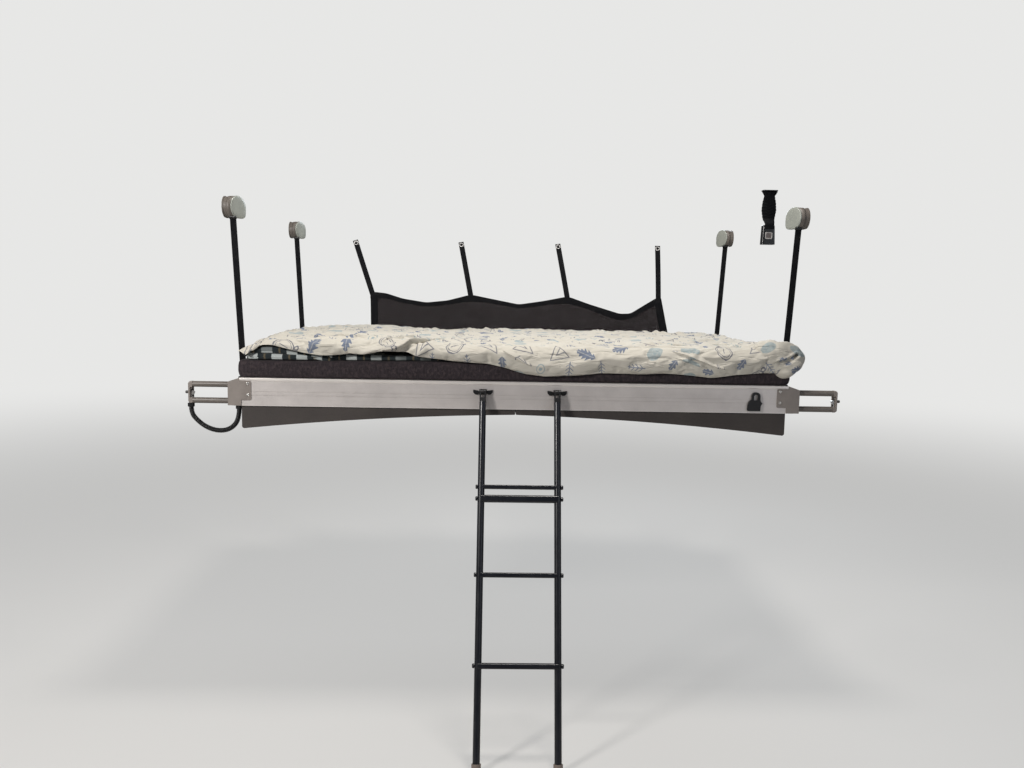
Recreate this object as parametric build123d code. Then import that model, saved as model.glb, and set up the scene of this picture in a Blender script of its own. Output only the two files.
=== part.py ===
"""Drop-down bunk of a motorhome cab: belt-lifted frame, soffit, bedding, guard net, guide arms and ladder.

Millimetres. +X runs across the vehicle, +Y forward to the windscreen, +Z up.
The origin is the middle of the four belt anchors, on the level of their rollers.
"""

import math
import os

from build123d import *

# Driving heights above the cab floor
anchor_height = 1958.0
frame_top_height = 1309.0
ceiling_height = 2032.0

# Frame
bunk_depth = 1324.0
rail_length = 2132.0
rail_height = 106.0
rail_width = 38.0
rail_wall = 2.5
lip_height = 12.0
lip_reach = 3.0
groove_drops = (52.0, 66.0)
groove_width = 2.5
groove_depth = 1.5
ledge_reach = 20.0
ledge_thickness = 3.0
ledge_end_play = 1.0
side_rail_inset = 20.5
side_rail_width = 42.0
side_rail_wall = 3.0
side_rail_lift = 1.0
deck_thickness = 12.0
deck_side_overlap = 12.0
deck_play = 1.0

# Soffit under the frame, in a left and a right half
soffit_inset = 28.0
soffit_edge_setback = 7.0
soffit_seam = 2.0
soffit_end_depth = 88.0
soffit_quarter_depth = 43.0
soffit_middle_depth = 21.0
soffit_wall = 9.0
soffit_corner = 9.0
soffit_seam_round = 4.0

# Corner brackets and guide arms; an inset is taken in from the rail's end, and an outset or reach out from it
bracket_plate = 3.0
bracket_plate_inset = 66.0
bracket_step_inset = 29.0
bracket_corner = 6.0
bracket_reach = 21.0
bracket_foot_drop = 72.0
bracket_depth = 44.0
shoulder_inset = 23.0
shoulder_drop = 15.0
shoulder_cover = 3.0
screw_r = 2.6
screw_drops = (9.5, 52.0)
screw_inset = 12.0
arm_rod_r = 11.0
arm_rod_clearance = 0.3
arm_rod_socket = 16.0
arm_rod_drops = (16.0, 78.0)
arm_reach = 138.0
arm_end_width = 16.0
arm_end_corner = 10.0
arm_end_edge = 4.0
arm_pocket = 9.0
arm_pocket_floor = 4.0
bumper_r = 5.5
bumper_length = 12.0
bumper_edge = 2.0

# Belts, anchors and guides
belt_width = 25.0
belt_thickness = 2.0
belt_inset = 150.0
belt_top_outset = 36.0
belt_low_inset = 2.0
belt_gap = 0.3
roller_r = 14.0
roller_end_play = 0.5
anchor_face_outset = 69.0
anchor_flange = 4.0
anchor_flange_r = 41.0
anchor_body_r = 39.0
anchor_body_reach = 18.0
anchor_cover_r = 43.0
anchor_cover_wall = 2.7
anchor_cover_lap = 3.0
anchor_cover_depth = 35.0
anchor_cover_round = 12.0
anchor_corner_r = 14.0
anchor_mouth = (14.0, 22.0)
anchor_mouth_margin = 1.0
anchor_screw_spacing = 52.0
anchor_screw_r = 2.75
guide_length = 74.0
guide_wall = 2.5
guide_rise = 6.0
guide_side_play = 3.5
guide_corner = 8.0
pulley_play = 5.0
pulley_end_play = 0.5

# Bedding
mattress_thickness = 78.0
mattress_side_setback = 13.0
mattress_end_setback = 7.0
mattress_corner = 32.0
mattress_edge = 9.0
blanket_thickness = 14.0
blanket_setback = 8.0
bedding_gap = 0.3
sheet_thickness = 38.0
sheet_overhang = 62.0
sheet_flap = 11.0
sheet_flap_start = -640.0
sheet_flap_inset = 20.0
bundle_size = (66.0, 96.0, 62.0)
bundle_lap = 12.0
bundle_overhang = 14.0
bundle_rise = 6.0
bundle_round = 22.0
flap_drop = 4.0
flap_lap = 1.0

# Guard net: (x, rise above the frame's top, x of the stud) at each strap, and (x, rise) along each scallop
net_points = ((-745.0, 344.0, -838.0), (-213.0, 338.0, -270.0), (306.0, 337.0, 255.0), (797.0, 342.0, 797.0))
net_scallops = (
    ((-669.0, 338.0), (-581.0, 311.0), (-452.0, 292.0), (-336.0, 305.0)),
    ((-102.0, 317.0), (45.0, 290.0), (179.0, 311.0)),
    ((425.0, 297.0), (589.0, 249.0), (653.0, 252.0), (717.0, 293.0)),
)
net_bottom_insets = (328.0, 182.0)
net_bottom_drop = 47.0
net_gap = 0.3
net_end_play = 1.0
net_thickness = 1.2
hem_thickness = 2.4
hem_top = 27.0
hem_side = 33.0
strap_width = 28.0
strap_tail = 20.0
strap_thickness = 2.0
strap_lap = 14.0
stud_rise = 605.0
stud_y = 738.0
stud_r = 9.0
stud_length = 5.0
batten_height = 16.0
batten_thickness = 3.0
batten_end = 15.0

# Travel lock
lock_inset = 156.0
lock_y = -737.0
lock_plate = (54.0, 30.0, 3.0)
lock_plate_corner = 5.0
lock_hole_offset = 10.0
lock_hole_spacing = 40.0
lock_hole_r = 2.5
sleeve_outline = ((26.0, 0.0), (19.0, 14.0), (25.0, 40.0), (27.5, 68.0), (23.0, 98.0), (17.0, 122.0))
sleeve_thickness = 14.0
buckle_size = (50.0, 27.0, 70.0)
buckle_taper = 3.0
buckle_corner = 7.0
buckle_rim = 4.0
buckle_mouth = (34.0, 6.0, 30.0)
buckle_button = (26.0, 25.0)
button_recess = 4.0
tongue_inset = 148.0
tongue_height = 72.0
tongue_outline = ((18.0, 0.0), (19.0, 20.0), (25.0, 30.0), (18.5, 37.0), (16.5, 44.0),
                  (-16.5, 44.0), (-26.0, 36.0), (-31.0, 23.0), (-32.0, 5.0), (-29.0, 0.0))
tongue_waist = 40.0
tongue_ring = 33.0
tongue_hole = (15.0, 22.0)
tongue_thickness = 9.0
tongue_top_drop = 25.0

# Ladder
ladder_x = 16.0
ladder_pin_drop = 38.0
ladder_foot_y = -1097.0
stile_spacing = 282.0
stile_r = 12.7
stile_wall = 1.6
hinge_pin_r = 4.0
hinge_reach = 14.0
fork_width = 24.0
fork_depth = 18.0
fork_slot = 12.0
fork_slot_depth = 22.0
fork_neck = 38.0
fork_plug = 24.0
plug_play = 0.2
lug_width = 10.0
lug_r = 9.0
pin_play = 0.3
wing_thickness = 5.0
receiver_plate = 3.0
wing_outline = ((13.0, 4.0), (21.0, 7.0), (37.0, 9.5), (37.0, 0.0), (30.0, -8.0), (21.0, -9.0), (13.0, -4.0))
wing_drop = 3.0
receiver_half = 14.0
receiver_crown = 3.0
foot_r = 16.5
foot_cover = 33.0
foot_floor_gap = 13.0
foot_edge = 1.0
tie_r = 4.0
tie_play = 0.2
knob_gap = 0.3
knob_lap = 1.0
knob_edge = 3.6
knob_r = 8.0
knob_length = 8.0
# Rungs, from the top: distance from the foot, depth and height of each tread
rung_distances = (981.0, 938.0, 665.0, 353.0)
rung_depths = (24.0, 32.0, 26.0, 30.0)
rung_heights = (15.0, 27.0, 18.0, 19.0)
rung_edge_share = 0.3
# Block below the floor that trims the feet: width, depth and height
floor_block = (1200.0, 600.0, 200.0)

# Flexible conduit: outside radius, and its route as (outset, drop below the frame's top) in the plane of the arms
conduit_r = 10.0
conduit_route = (
    (-14.0, 113.0),
    (-14.0, 159.0),
    (17.0, 199.0),
    (66.0, 208.0),
    (114.0, 192.0),
    (149.0, 163.0),
    (167.0, 137.0),
    (167.0, 107.0),
)
gland_r = 12.5
gland_length = 7.0
gland_play = 0.3

# Places worked out from the sizes
frame_top = frame_top_height - anchor_height
rail_bottom = frame_top - rail_height
floor_level = -anchor_height
face_y = bunk_depth / 2
half_rail = rail_length / 2
bracket_inner_x = half_rail - bracket_plate_inset
bracket_step_x = half_rail - bracket_step_inset
shoulder_x = half_rail - shoulder_inset
belt_top_x = half_rail + belt_top_outset
belt_low_x = half_rail - belt_low_inset
anchor_face_x = half_rail + anchor_face_outset
net_bottom_x = (net_bottom_insets[0] - half_rail, half_rail - net_bottom_insets[1])
lock_x = half_rail - lock_inset
tongue_x = half_rail - tongue_inset
side_face_x = half_rail - side_rail_inset
side_inner_x = side_face_x - side_rail_width
inner_y = face_y - rail_width
side_top = frame_top - lip_height
side_bottom = rail_bottom + side_rail_lift
bracket_outer_x = half_rail + bracket_reach
arm_end_x = bracket_outer_x + arm_reach
arm_y = -face_y + bracket_depth / 2
arm_levels = [side_top - drop for drop in arm_rod_drops]
arm_top, arm_bottom = arm_levels[0] + arm_rod_r, arm_levels[1] - arm_rod_r
belt_y = face_y - belt_inset
mattress_bottom = frame_top
mattress_top = mattress_bottom + mattress_thickness
blanket_bottom = mattress_top + bedding_gap
sheet_bottom = blanket_bottom + blanket_thickness + bedding_gap
pin_y = -face_y - hinge_reach
ladder_pin_height = frame_top_height - ladder_pin_drop
pin_level = frame_top - ladder_pin_drop
ladder_run = pin_y - ladder_foot_y
ladder_length = math.hypot(ladder_run, ladder_pin_height)
ladder_lean = math.degrees(math.atan2(ladder_run, ladder_pin_height))

SIDES = (("left", -1), ("right", 1))
ENDS = (("rear", -1), ("front", 1))


def block(x0, x1, y0, y1, z0, z1):
    """A box between two corners."""
    return Pos((x0 + x1) / 2, (y0 + y1) / 2, (z0 + z1) / 2) * Box(x1 - x0, y1 - y0, z1 - z0)


def prism_x(outline, x0, x1):
    """A face given in (y, z), carried along X."""
    return Pos(x0, 0, 0) * extrude(Plane.YZ * outline, amount=x1 - x0)


def prism_y(outline, y0, y1):
    """A face given in (x, z), carried along Y."""
    return Pos(0, y1, 0) * extrude(Plane.XZ * outline, amount=y1 - y0)


def shape(points):
    """A flat face with straight edges."""
    return make_face(Polyline(*points, close=True))


def rod_x(r, x0, x1, y, z):
    """A round bar along X."""
    return Pos((x0 + x1) / 2, y, z) * Rot(0, 90, 0) * Cylinder(r, x1 - x0)


def rod_z(r, x, y, z0, z1):
    """A round bar along Z."""
    return Pos(x, y, (z0 + z1) / 2) * Cylinder(r, z1 - z0)


def span(sign, a, b):
    """The two X values a and b on the side that sign gives, in rising order."""
    return sorted((sign * a, sign * b))


def round_edges(solid, axis, radius):
    """The solid with its edges along an axis rounded."""
    return fillet(solid.edges().filter_by(axis), radius)


def save(node, *solids):
    """Writes one node; several solids go in one file."""
    whole = solids[0] if len(solids) == 1 else Compound(list(solids))
    export_step(whole, f"parts/{node}.step")


def shoulder_level(x):
    """Height of the sloped shoulder at each corner of the frame."""
    return frame_top - shoulder_drop * (x - shoulder_x) / (bracket_outer_x - shoulder_x)


def make_long_rail():
    """The rear rail: an extrusion with a lip, fine grooves, two chambers, a ledge for the deck and sloped ends."""
    deck_step = rail_height - deck_thickness
    outline = [(0, 0), (rail_width, 0), (rail_width, deck_step - ledge_thickness)]
    outline += [(rail_width + ledge_reach, deck_step - ledge_thickness), (rail_width + ledge_reach, deck_step)]
    outline += [(rail_width, deck_step), (rail_width, rail_height), (-lip_reach, rail_height)]
    outline += [(-lip_reach, rail_height - lip_height + lip_reach), (0, rail_height - lip_height)]
    for drop in groove_drops:
        level = rail_height - drop
        outline += [(0, level + groove_width / 2), (groove_depth, level + groove_width / 2)]
        outline += [(groove_depth, level - groove_width / 2), (0, level - groove_width / 2)]
    placed = [(-face_y + u, rail_bottom + v) for u, v in outline]
    rail = prism_x(shape(placed), -half_rail, half_rail)
    nose = rail.edges().filter_by(Axis.X).sort_by(Axis.Y)[:2]
    rail = fillet(nose, lip_reach * 0.8)
    for sign in (-1, 1):
        x0, x1 = span(sign, side_inner_x - ledge_end_play, half_rail)
        rail -= block(x0, x1, -inner_y, -inner_y + ledge_reach, rail_bottom, frame_top)
    middle = rail_height / 2 - rail_wall
    for low, high in ((rail_wall, middle), (middle + rail_wall, rail_height - rail_wall)):
        skin = rail_wall + groove_depth
        rail -= block(-half_rail, half_rail, -face_y + skin, -inner_y - rail_wall, rail_bottom + low, rail_bottom + high)
    for sign in (-1, 1):
        slope = [(shoulder_x, frame_top + lip_height), (shoulder_x, frame_top - shoulder_cover)]
        slope += [(half_rail, shoulder_level(half_rail) - shoulder_cover), (half_rail, frame_top + lip_height)]
        rail -= prism_y(shape([(sign * x, z) for x, z in slope]), -face_y - lip_reach, -inner_y)
        x0, x1 = span(sign, shoulder_x, half_rail)
        rail -= block(x0, x1, -face_y - lip_reach, -face_y, side_top, frame_top)
    return rail


def make_frame():
    """Long rails, side rails and the deck board that lies on their ledges."""
    rear = make_long_rail()
    save("rail_rear", rear)
    save("rail_front", mirror(rear, Plane.XZ))
    for side, sign in SIDES:
        x0, x1 = span(sign, side_inner_x, side_face_x)
        tube = block(x0, x1, -inner_y, inner_y, side_bottom, side_top)
        tube = round_edges(tube, Axis.Y, side_rail_wall)
        w = side_rail_wall
        tube -= block(x0 + w, x1 - w, -inner_y, inner_y, side_bottom + w, side_top - w)
        save(f"rail_{side}", tube)
    reach = side_inner_x + deck_side_overlap
    save("deck_board", block(-reach, reach, deck_play - inner_y, inner_y - deck_play,
                             frame_top - deck_thickness, frame_top))


def make_soffit():
    """The covered panel under the frame: two halves that meet at a seam, arched up from their ends to the middle."""
    half = half_rail - soffit_inset
    edge_y = face_y - soffit_edge_setback
    w = soffit_wall

    def section(x0, x1, lift):
        levels = [rail_bottom - drop + lift for drop in (soffit_middle_depth, soffit_quarter_depth, soffit_end_depth)]
        line = Polyline((x0, levels[0]), (x0, rail_bottom), (x1, rail_bottom), (x1, levels[2]))
        return make_face(line + ThreePointArc((x1, levels[2]), ((x0 + x1) / 2, levels[1]), (x0, levels[0])))

    panel = prism_y(section(soffit_seam / 2, half, 0), -edge_y, edge_y)
    lower = panel.edges().filter_by(Axis.Y).sort_by(Axis.X)
    panel = fillet([e for e in lower[-2:] if e.center().Z < rail_bottom - w], soffit_corner)
    lower = panel.edges().filter_by(Axis.Y).sort_by(Axis.X)
    panel = fillet([e for e in lower[:2] if e.center().Z < rail_bottom - w], soffit_seam_round)
    panel -= prism_y(section(soffit_seam / 2 + w, half - w, w), -edge_y + w, edge_y - w)
    save("soffit_right", panel)
    save("soffit_left", mirror(panel, Plane.YZ))


def make_brackets():
    """Corner brackets: a stepped plate on the rail's face, a block at the rail's end and a sloped cover over both."""
    foot = side_top - bracket_foot_drop
    for end, way in ENDS:
        for side, sign in SIDES:
            outline = [(bracket_inner_x, side_top), (shoulder_x, side_top), (shoulder_x, frame_top)]
            outline += [(bracket_outer_x, shoulder_level(bracket_outer_x)), (bracket_outer_x, side_bottom)]
            outline += [(bracket_step_x, side_bottom), (bracket_step_x, foot), (bracket_inner_x, foot)]
            face = shape([(sign * x, z) for x, z in outline])
            y0, y1 = sorted((way * face_y, way * (face_y + bracket_plate)))
            plate = prism_y(face, y0, y1)
            corners = plate.edges().filter_by(Axis.Y)
            plate = fillet([e for e in corners if abs(e.center().X) < bracket_step_x - 1], bracket_corner)
            y0, y1 = sorted((way * face_y, way * (face_y - bracket_depth)))
            cheek = [(half_rail, side_bottom), (bracket_outer_x, side_bottom)]
            cheek += [(bracket_outer_x, shoulder_level(bracket_outer_x)), (shoulder_x, frame_top)]
            cheek += [(shoulder_x, frame_top - shoulder_cover), (half_rail, shoulder_level(half_rail) - shoulder_cover)]
            bracket = plate + prism_y(shape([(sign * x, z) for x, z in cheek]), y0, y1)
            for drop in screw_drops:
                x = sign * (bracket_inner_x + screw_inset)
                hole = Pos(x, way * face_y, side_top - drop) * Rot(90, 0, 0)
                bracket -= hole * Cylinder(screw_r, 4 * bracket_plate)
            if end == "rear":
                for level in arm_levels:
                    x0, x1 = span(sign, bracket_outer_x - arm_rod_socket, bracket_outer_x + 1)
                    bracket -= rod_x(arm_rod_r + arm_rod_clearance, x0, x1, arm_y, level)
            save(f"corner_bracket_{end}_{side}", bracket)


def make_arms():
    """Each guide arm: two round rods from the rear bracket to an upright end with a short stub that meets the wall."""
    bumpers = []
    for side, sign in SIDES:
        x0, x1 = span(sign, bracket_outer_x - arm_rod_socket, arm_end_x)
        save(f"arm_rods_{side}", *[rod_x(arm_rod_r, x0, x1, arm_y, level) for level in arm_levels])

        x0, x1 = span(sign, arm_end_x, arm_end_x + arm_end_width)
        end = block(x0, x1, arm_y - arm_rod_r, arm_y + arm_rod_r, arm_bottom, arm_top)
        outer = [e for e in end.edges().filter_by(Axis.Y) if abs(e.center().X) > arm_end_x + 1]
        end = fillet(outer, arm_end_corner)
        rim = [e for e in end.edges() if abs(e.center().X) > arm_end_x + 1 and abs(e.center().Y - arm_y) > 1]
        end = fillet(rim, arm_end_edge)
        low, high = arm_levels[1] + arm_rod_r, arm_levels[0] - arm_rod_r
        x0, x1 = span(sign, arm_end_x, arm_end_x + arm_pocket)
        end -= block(x0, x1, arm_y - arm_rod_r, arm_y + arm_rod_r - arm_pocket_floor, low, high)
        save(f"arm_end_{side}", end)

        x0, x1 = span(sign, arm_end_x + arm_end_width, arm_end_x + arm_end_width + bumper_length)
        bumper = rod_x(bumper_r, x0, x1, arm_y, (low + high) / 2)
        tip = sorted(bumper.edges(), key=lambda e: -abs(e.center().X))[0]
        bumpers.append(fillet(tip, bumper_edge))
    save("arm_bumpers", *bumpers)


def anchor_outline(r):
    """A disc with one square corner, at its front lower side."""
    outline = Circle(r) + Pos(r / 2, -r / 2) * Rectangle(r, r)
    corner = outline.vertices().sort_by(lambda v: v.X - v.Y)[-1]
    return fillet(corner, anchor_corner_r)


def make_anchors():
    """Each belt anchor: a base with its roller on the cabinet face, and a rounded cover with a way out for the belt."""
    for end, way in ENDS:
        for side, sign in SIDES:
            y = way * belt_y

            def part_of(r, near, far):
                x0, x1 = span(sign, near, far)
                return Pos(0, y, 0) * prism_x(anchor_outline(r), x0, x1)

            body_x = anchor_face_x - anchor_body_reach
            roller_end = belt_top_x - belt_width / 2 - roller_end_play
            base = part_of(anchor_flange_r, anchor_face_x, anchor_face_x - anchor_flange)
            base += part_of(anchor_body_r, anchor_face_x - anchor_flange, body_x)
            base += rod_x(roller_r, *span(sign, roller_end, body_x), y, 0)
            for z in (-anchor_screw_spacing / 2, anchor_screw_spacing / 2):
                base -= rod_x(anchor_screw_r, *span(sign, body_x, anchor_face_x), y, z)
            save(f"anchor_base_{end}_{side}", base)

            def rounded(r, near, far, radius):
                solid = part_of(r, near, far)
                return fillet([e for e in solid.edges() if abs(abs(e.center().X) - far) < 0.01], radius)

            wall = anchor_cover_wall
            rim_x = body_x + anchor_cover_lap
            crown_x = rim_x - anchor_cover_depth
            cover = rounded(anchor_cover_r, rim_x, crown_x, anchor_cover_round)
            cover -= rounded(anchor_cover_r - wall, rim_x, crown_x + wall, anchor_cover_round - wall)
            mouth_depth, mouth_height = anchor_mouth
            near = y - roller_r - mouth_depth * 0.6
            cover -= block(*span(sign, crown_x + anchor_mouth_margin, body_x), near, near + mouth_depth,
                           -anchor_cover_r, -anchor_cover_r + mouth_height)
            save(f"anchor_cover_{end}_{side}", cover)


def make_belts():
    """Each belt runs from its anchor's roller down to the pulley in its guide on the side rail."""
    pulley_z = (side_top + side_bottom) / 2
    for end, way in ENDS:
        for side, sign in SIDES:
            y1 = way * belt_y - roller_r - belt_gap
            half = belt_width / 2
            outline = [(belt_top_x - half, 0), (belt_top_x + half, 0)]
            outline += [(belt_low_x + half, pulley_z), (belt_low_x - half, pulley_z)]
            belt = prism_y(shape([(sign * x, z) for x, z in outline]), y1 - belt_thickness, y1)
            save(f"belt_{end}_{side}", belt)

            inner = side_face_x
            outer = belt_low_x + half + guide_side_play + guide_wall
            y = way * belt_y
            x0, x1 = span(sign, inner, outer)
            housing = block(x0, x1, y - guide_length / 2, y + guide_length / 2, side_bottom, side_top + guide_rise)
            housing = round_edges(housing, Axis.X, guide_corner)
            cavity_x = span(sign, belt_low_x - half - guide_side_play, belt_low_x + half + guide_side_play)
            room = roller_r + pulley_play
            housing -= rod_x(room, *cavity_x, y, pulley_z)
            housing -= block(*cavity_x, y - room, y - roller_r + belt_thickness, pulley_z, side_top + guide_rise)
            pulley = rod_x(roller_r, cavity_x[0] + pulley_end_play, cavity_x[1] - pulley_end_play, y, pulley_z)
            pulley += rod_x(roller_r / 3, *cavity_x, y, pulley_z)
            save(f"belt_guide_{end}_{side}", housing + pulley)


def make_bedding():
    """The mattress, the folded blanket on it and the top sheet that hangs over its rear edge."""
    half_x, half_y = half_rail - mattress_side_setback, face_y - mattress_end_setback
    mattress = block(-half_x, half_x, -half_y, half_y, mattress_bottom, mattress_top)
    mattress = round_edges(mattress, Axis.Z, mattress_corner)
    flat = [e for e in mattress.edges() if abs(e.center().Z - mattress_top) < 0.01]
    save("mattress", fillet(flat, mattress_edge))

    x, y = half_x - blanket_setback, half_y - blanket_setback
    blanket = block(-x, x, -y, y, blanket_bottom, blanket_bottom + blanket_thickness)
    save("blanket", round_edges(blanket, Axis.Z, mattress_corner))

    top = sheet_bottom + sheet_thickness
    sheet = round_edges(block(-x, x, -y, y, sheet_bottom, top), Axis.Z, mattress_corner)
    flap_y = -half_y - bedding_gap
    flap_top = top - flap_drop
    flap_x = (sheet_flap_start, half_rail - sheet_flap_inset)
    flap = block(*flap_x, flap_y - sheet_flap, flap_y, sheet_bottom - sheet_overhang, flap_top)
    link = block(*flap_x, flap_y - flap_lap, -y + mattress_corner, sheet_bottom, flap_top)
    bx, by, bz = bundle_size
    x0, y0 = half_x - bundle_lap, -half_y - bundle_overhang
    bundle = block(x0, x0 + bx, y0, y0 + by, top - bz, top + bundle_rise)
    bundle = fillet(bundle.edges(), bundle_round)
    bundle -= block(0, half_x + bedding_gap, -face_y, 0, mattress_bottom, sheet_bottom)
    save("top_sheet", sheet + flap + link + bundle)


def net_outline(inset_top, inset_side):
    """The net's outline in (x, z), with its scalloped top; the insets draw it in to the hem's inner edge."""
    tops = [(x, frame_top + rise - inset_top) for x, rise, _ in net_points]
    tops[0] = (tops[0][0] + inset_side, tops[0][1])
    tops[-1] = (tops[-1][0] - inset_side, tops[-1][1])
    low = frame_top - net_bottom_drop
    left, right = net_bottom_x[0] + inset_side, net_bottom_x[1] - inset_side
    edge = Polyline(tops[-1], (right, low), (left, low), tops[0])
    for a, b, scallop in zip(tops, tops[1:], net_scallops):
        between = [(x, frame_top + rise - inset_top) for x, rise in scallop if a[0] + hem_side < x < b[0] - hem_side]
        edge += Spline(a, *between, b)
    return make_face(edge)


def make_net():
    """The guard net at the front edge: hem, mesh panel, four straps, their studs and the batten that holds the hem."""
    y0 = face_y + lip_reach + net_gap
    hem_y = y0 + hem_thickness
    inner = net_outline(hem_top, hem_side)
    save("net_hem", prism_y(net_outline(0, 0), y0, hem_y) - prism_y(inner, y0, hem_y))
    panel_y = (y0 + hem_y - net_thickness) / 2
    save("net_panel", prism_y(inner, panel_y, panel_y + net_thickness))

    straps, studs = [], []
    stud_z = frame_top + stud_rise
    for x, rise, stud_x in net_points:
        foot = Vector(x, hem_y + strap_thickness / 2 + net_gap, frame_top + rise - strap_lap)
        head = Vector(stud_x, stud_y, stud_z)
        run = head - foot
        turn = math.degrees(math.atan2(run.X, run.Z))
        tilt = math.degrees(math.atan2(run.Y, math.hypot(run.X, run.Z)))
        length = run.length + strap_tail
        place = Pos(*foot) * Rot(0, turn, 0) * Rot(-tilt, 0, 0)
        straps.append(place * Pos(0, 0, length / 2) * Box(strap_width, strap_thickness, length))
        stud = Pos(0, (strap_thickness + stud_length) / 2, run.length) * Rot(90, 0, 0)
        studs.append(place * stud * Cylinder(stud_r, stud_length))
    save("net_straps", *straps)
    save("net_studs", *studs)

    low = frame_top - net_bottom_drop
    y = hem_y + net_gap
    reach = (net_bottom_x[0] - batten_end, net_bottom_x[1] + batten_end)
    batten = block(*reach, y, y + batten_thickness, low, low + batten_height)
    for sign, x in zip((-1, 1), net_bottom_x):
        ends = sorted((x + sign * net_end_play, x + sign * batten_end))
        batten += block(*ends, face_y, y + batten_thickness, low, low + batten_height)
    save("net_batten", batten)


def make_lock():
    """Travel lock: the ceiling strap with its buckle, and the tongue on the rear rail that it grips."""
    wide, deep, thick = lock_plate
    top = ceiling_height - anchor_height
    plate = block(lock_x - wide / 2, lock_x + wide / 2, lock_y - deep / 2, lock_y + deep / 2, top - thick, top)
    plate = round_edges(plate, Axis.Z, lock_plate_corner)
    for way in (-1, 1):
        plate -= rod_z(lock_hole_r, lock_x + way * lock_hole_spacing / 2, lock_y - lock_hole_offset, top - thick, top)
    save("lock_plate", plate)

    start = top - thick
    right = [(lock_x + half, start - drop) for half, drop in sleeve_outline]
    left = [(lock_x - half, start - drop) for half, drop in reversed(sleeve_outline)]
    half_t = sleeve_thickness / 2
    sleeve = prism_y(shape(right + left), lock_y - half_t, lock_y + half_t)
    save("lock_strap", sleeve)

    bw, bd, bh = buckle_size
    high = start - sleeve_outline[-1][1]
    half_w = bw / 2
    body = [(lock_x - half_w, high - bh), (lock_x + half_w, high - bh)]
    body += [(lock_x + half_w - buckle_taper, high), (lock_x - half_w + buckle_taper, high)]
    buckle = prism_y(shape(body), lock_y - bd / 2, lock_y + bd / 2)
    upright = [e for e in buckle.edges() if abs(e.center().X - lock_x) > half_w / 2 and abs(e.center().Y - lock_y) > 1]
    buckle = fillet(upright, buckle_corner)
    buckle = fillet(buckle.faces().sort_by(Axis.Z)[-1].edges(), buckle_rim)
    mw, md, mh = buckle_mouth
    buckle -= block(lock_x - mw / 2, lock_x + mw / 2, lock_y - md / 2, lock_y + md / 2, high - bh, high - bh + mh)
    cw, ch = buckle_button
    middle = high - bh * 0.55
    near = lock_y - bd / 2
    buckle -= block(lock_x - cw / 2, lock_x + cw / 2, near, near + button_recess, middle - ch / 2, middle + ch / 2)
    save("lock_buckle", buckle)

    face = -face_y
    head = frame_top - tongue_top_drop
    foot = head - tongue_height
    ring_w = tongue_ring
    tongue = prism_y(shape([(tongue_x + u, foot + v) for u, v in tongue_outline]), face - tongue_thickness, face)
    ring = block(tongue_x - ring_w / 2, tongue_x + ring_w / 2, face - tongue_thickness, face, foot + tongue_waist, head)
    upper = [e for e in ring.edges().filter_by(Axis.Y) if e.center().Z > head - 1]
    tongue += fillet(upper, ring_w / 2 - 1)
    hole_w, hole_h = tongue_hole
    hole_top = head - (ring_w - hole_w) / 2
    hole = block(tongue_x - hole_w / 2, tongue_x + hole_w / 2, face - tongue_thickness, face, hole_top - hole_h, hole_top)
    upper = [e for e in hole.edges().filter_by(Axis.Y) if e.center().Z > hole_top - 1]
    tongue -= fillet(upper, hole_w / 2 - 0.5)
    save("lock_tongue", tongue)


def make_receivers():
    """Ladder receivers on the rear rail: two wings, a thin back plate and a lug with an open cradle for the pin."""
    face = -face_y
    for side, sign in SIDES:
        x = ladder_x + sign * stile_spacing / 2
        level = pin_level - wing_drop
        body = block(x - receiver_half, x + receiver_half, face - receiver_plate, face,
                     level - lug_r, level + lug_r + receiver_crown)
        for way in (-1, 1):
            wing = shape([(x + way * u, level + v) for u, v in wing_outline])
            body += prism_y(wing, face - wing_thickness, face)
        lug = Pos(pin_y, pin_level) * Circle(lug_r)
        lug += Pos((pin_y + face) / 2, pin_level - lug_r / 4) * Rectangle(face - pin_y, lug_r * 1.5)
        cradle = Pos(pin_y, pin_level) * Circle(hinge_pin_r + pin_play)
        cradle += Pos(pin_y, pin_level + lug_r) * Rectangle(2 * (hinge_pin_r + pin_play), 2 * lug_r)
        body += prism_x(lug - cradle, x - lug_width / 2, x + lug_width / 2)
        save(f"ladder_receiver_{side}", body)


def ladder_place(x=0.0):
    """Carries a piece drawn with the pin at its origin and the ladder hanging down to its place."""
    return Pos(ladder_x + x, pin_y, pin_level) * Rot(-ladder_lean, 0, 0)


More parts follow.
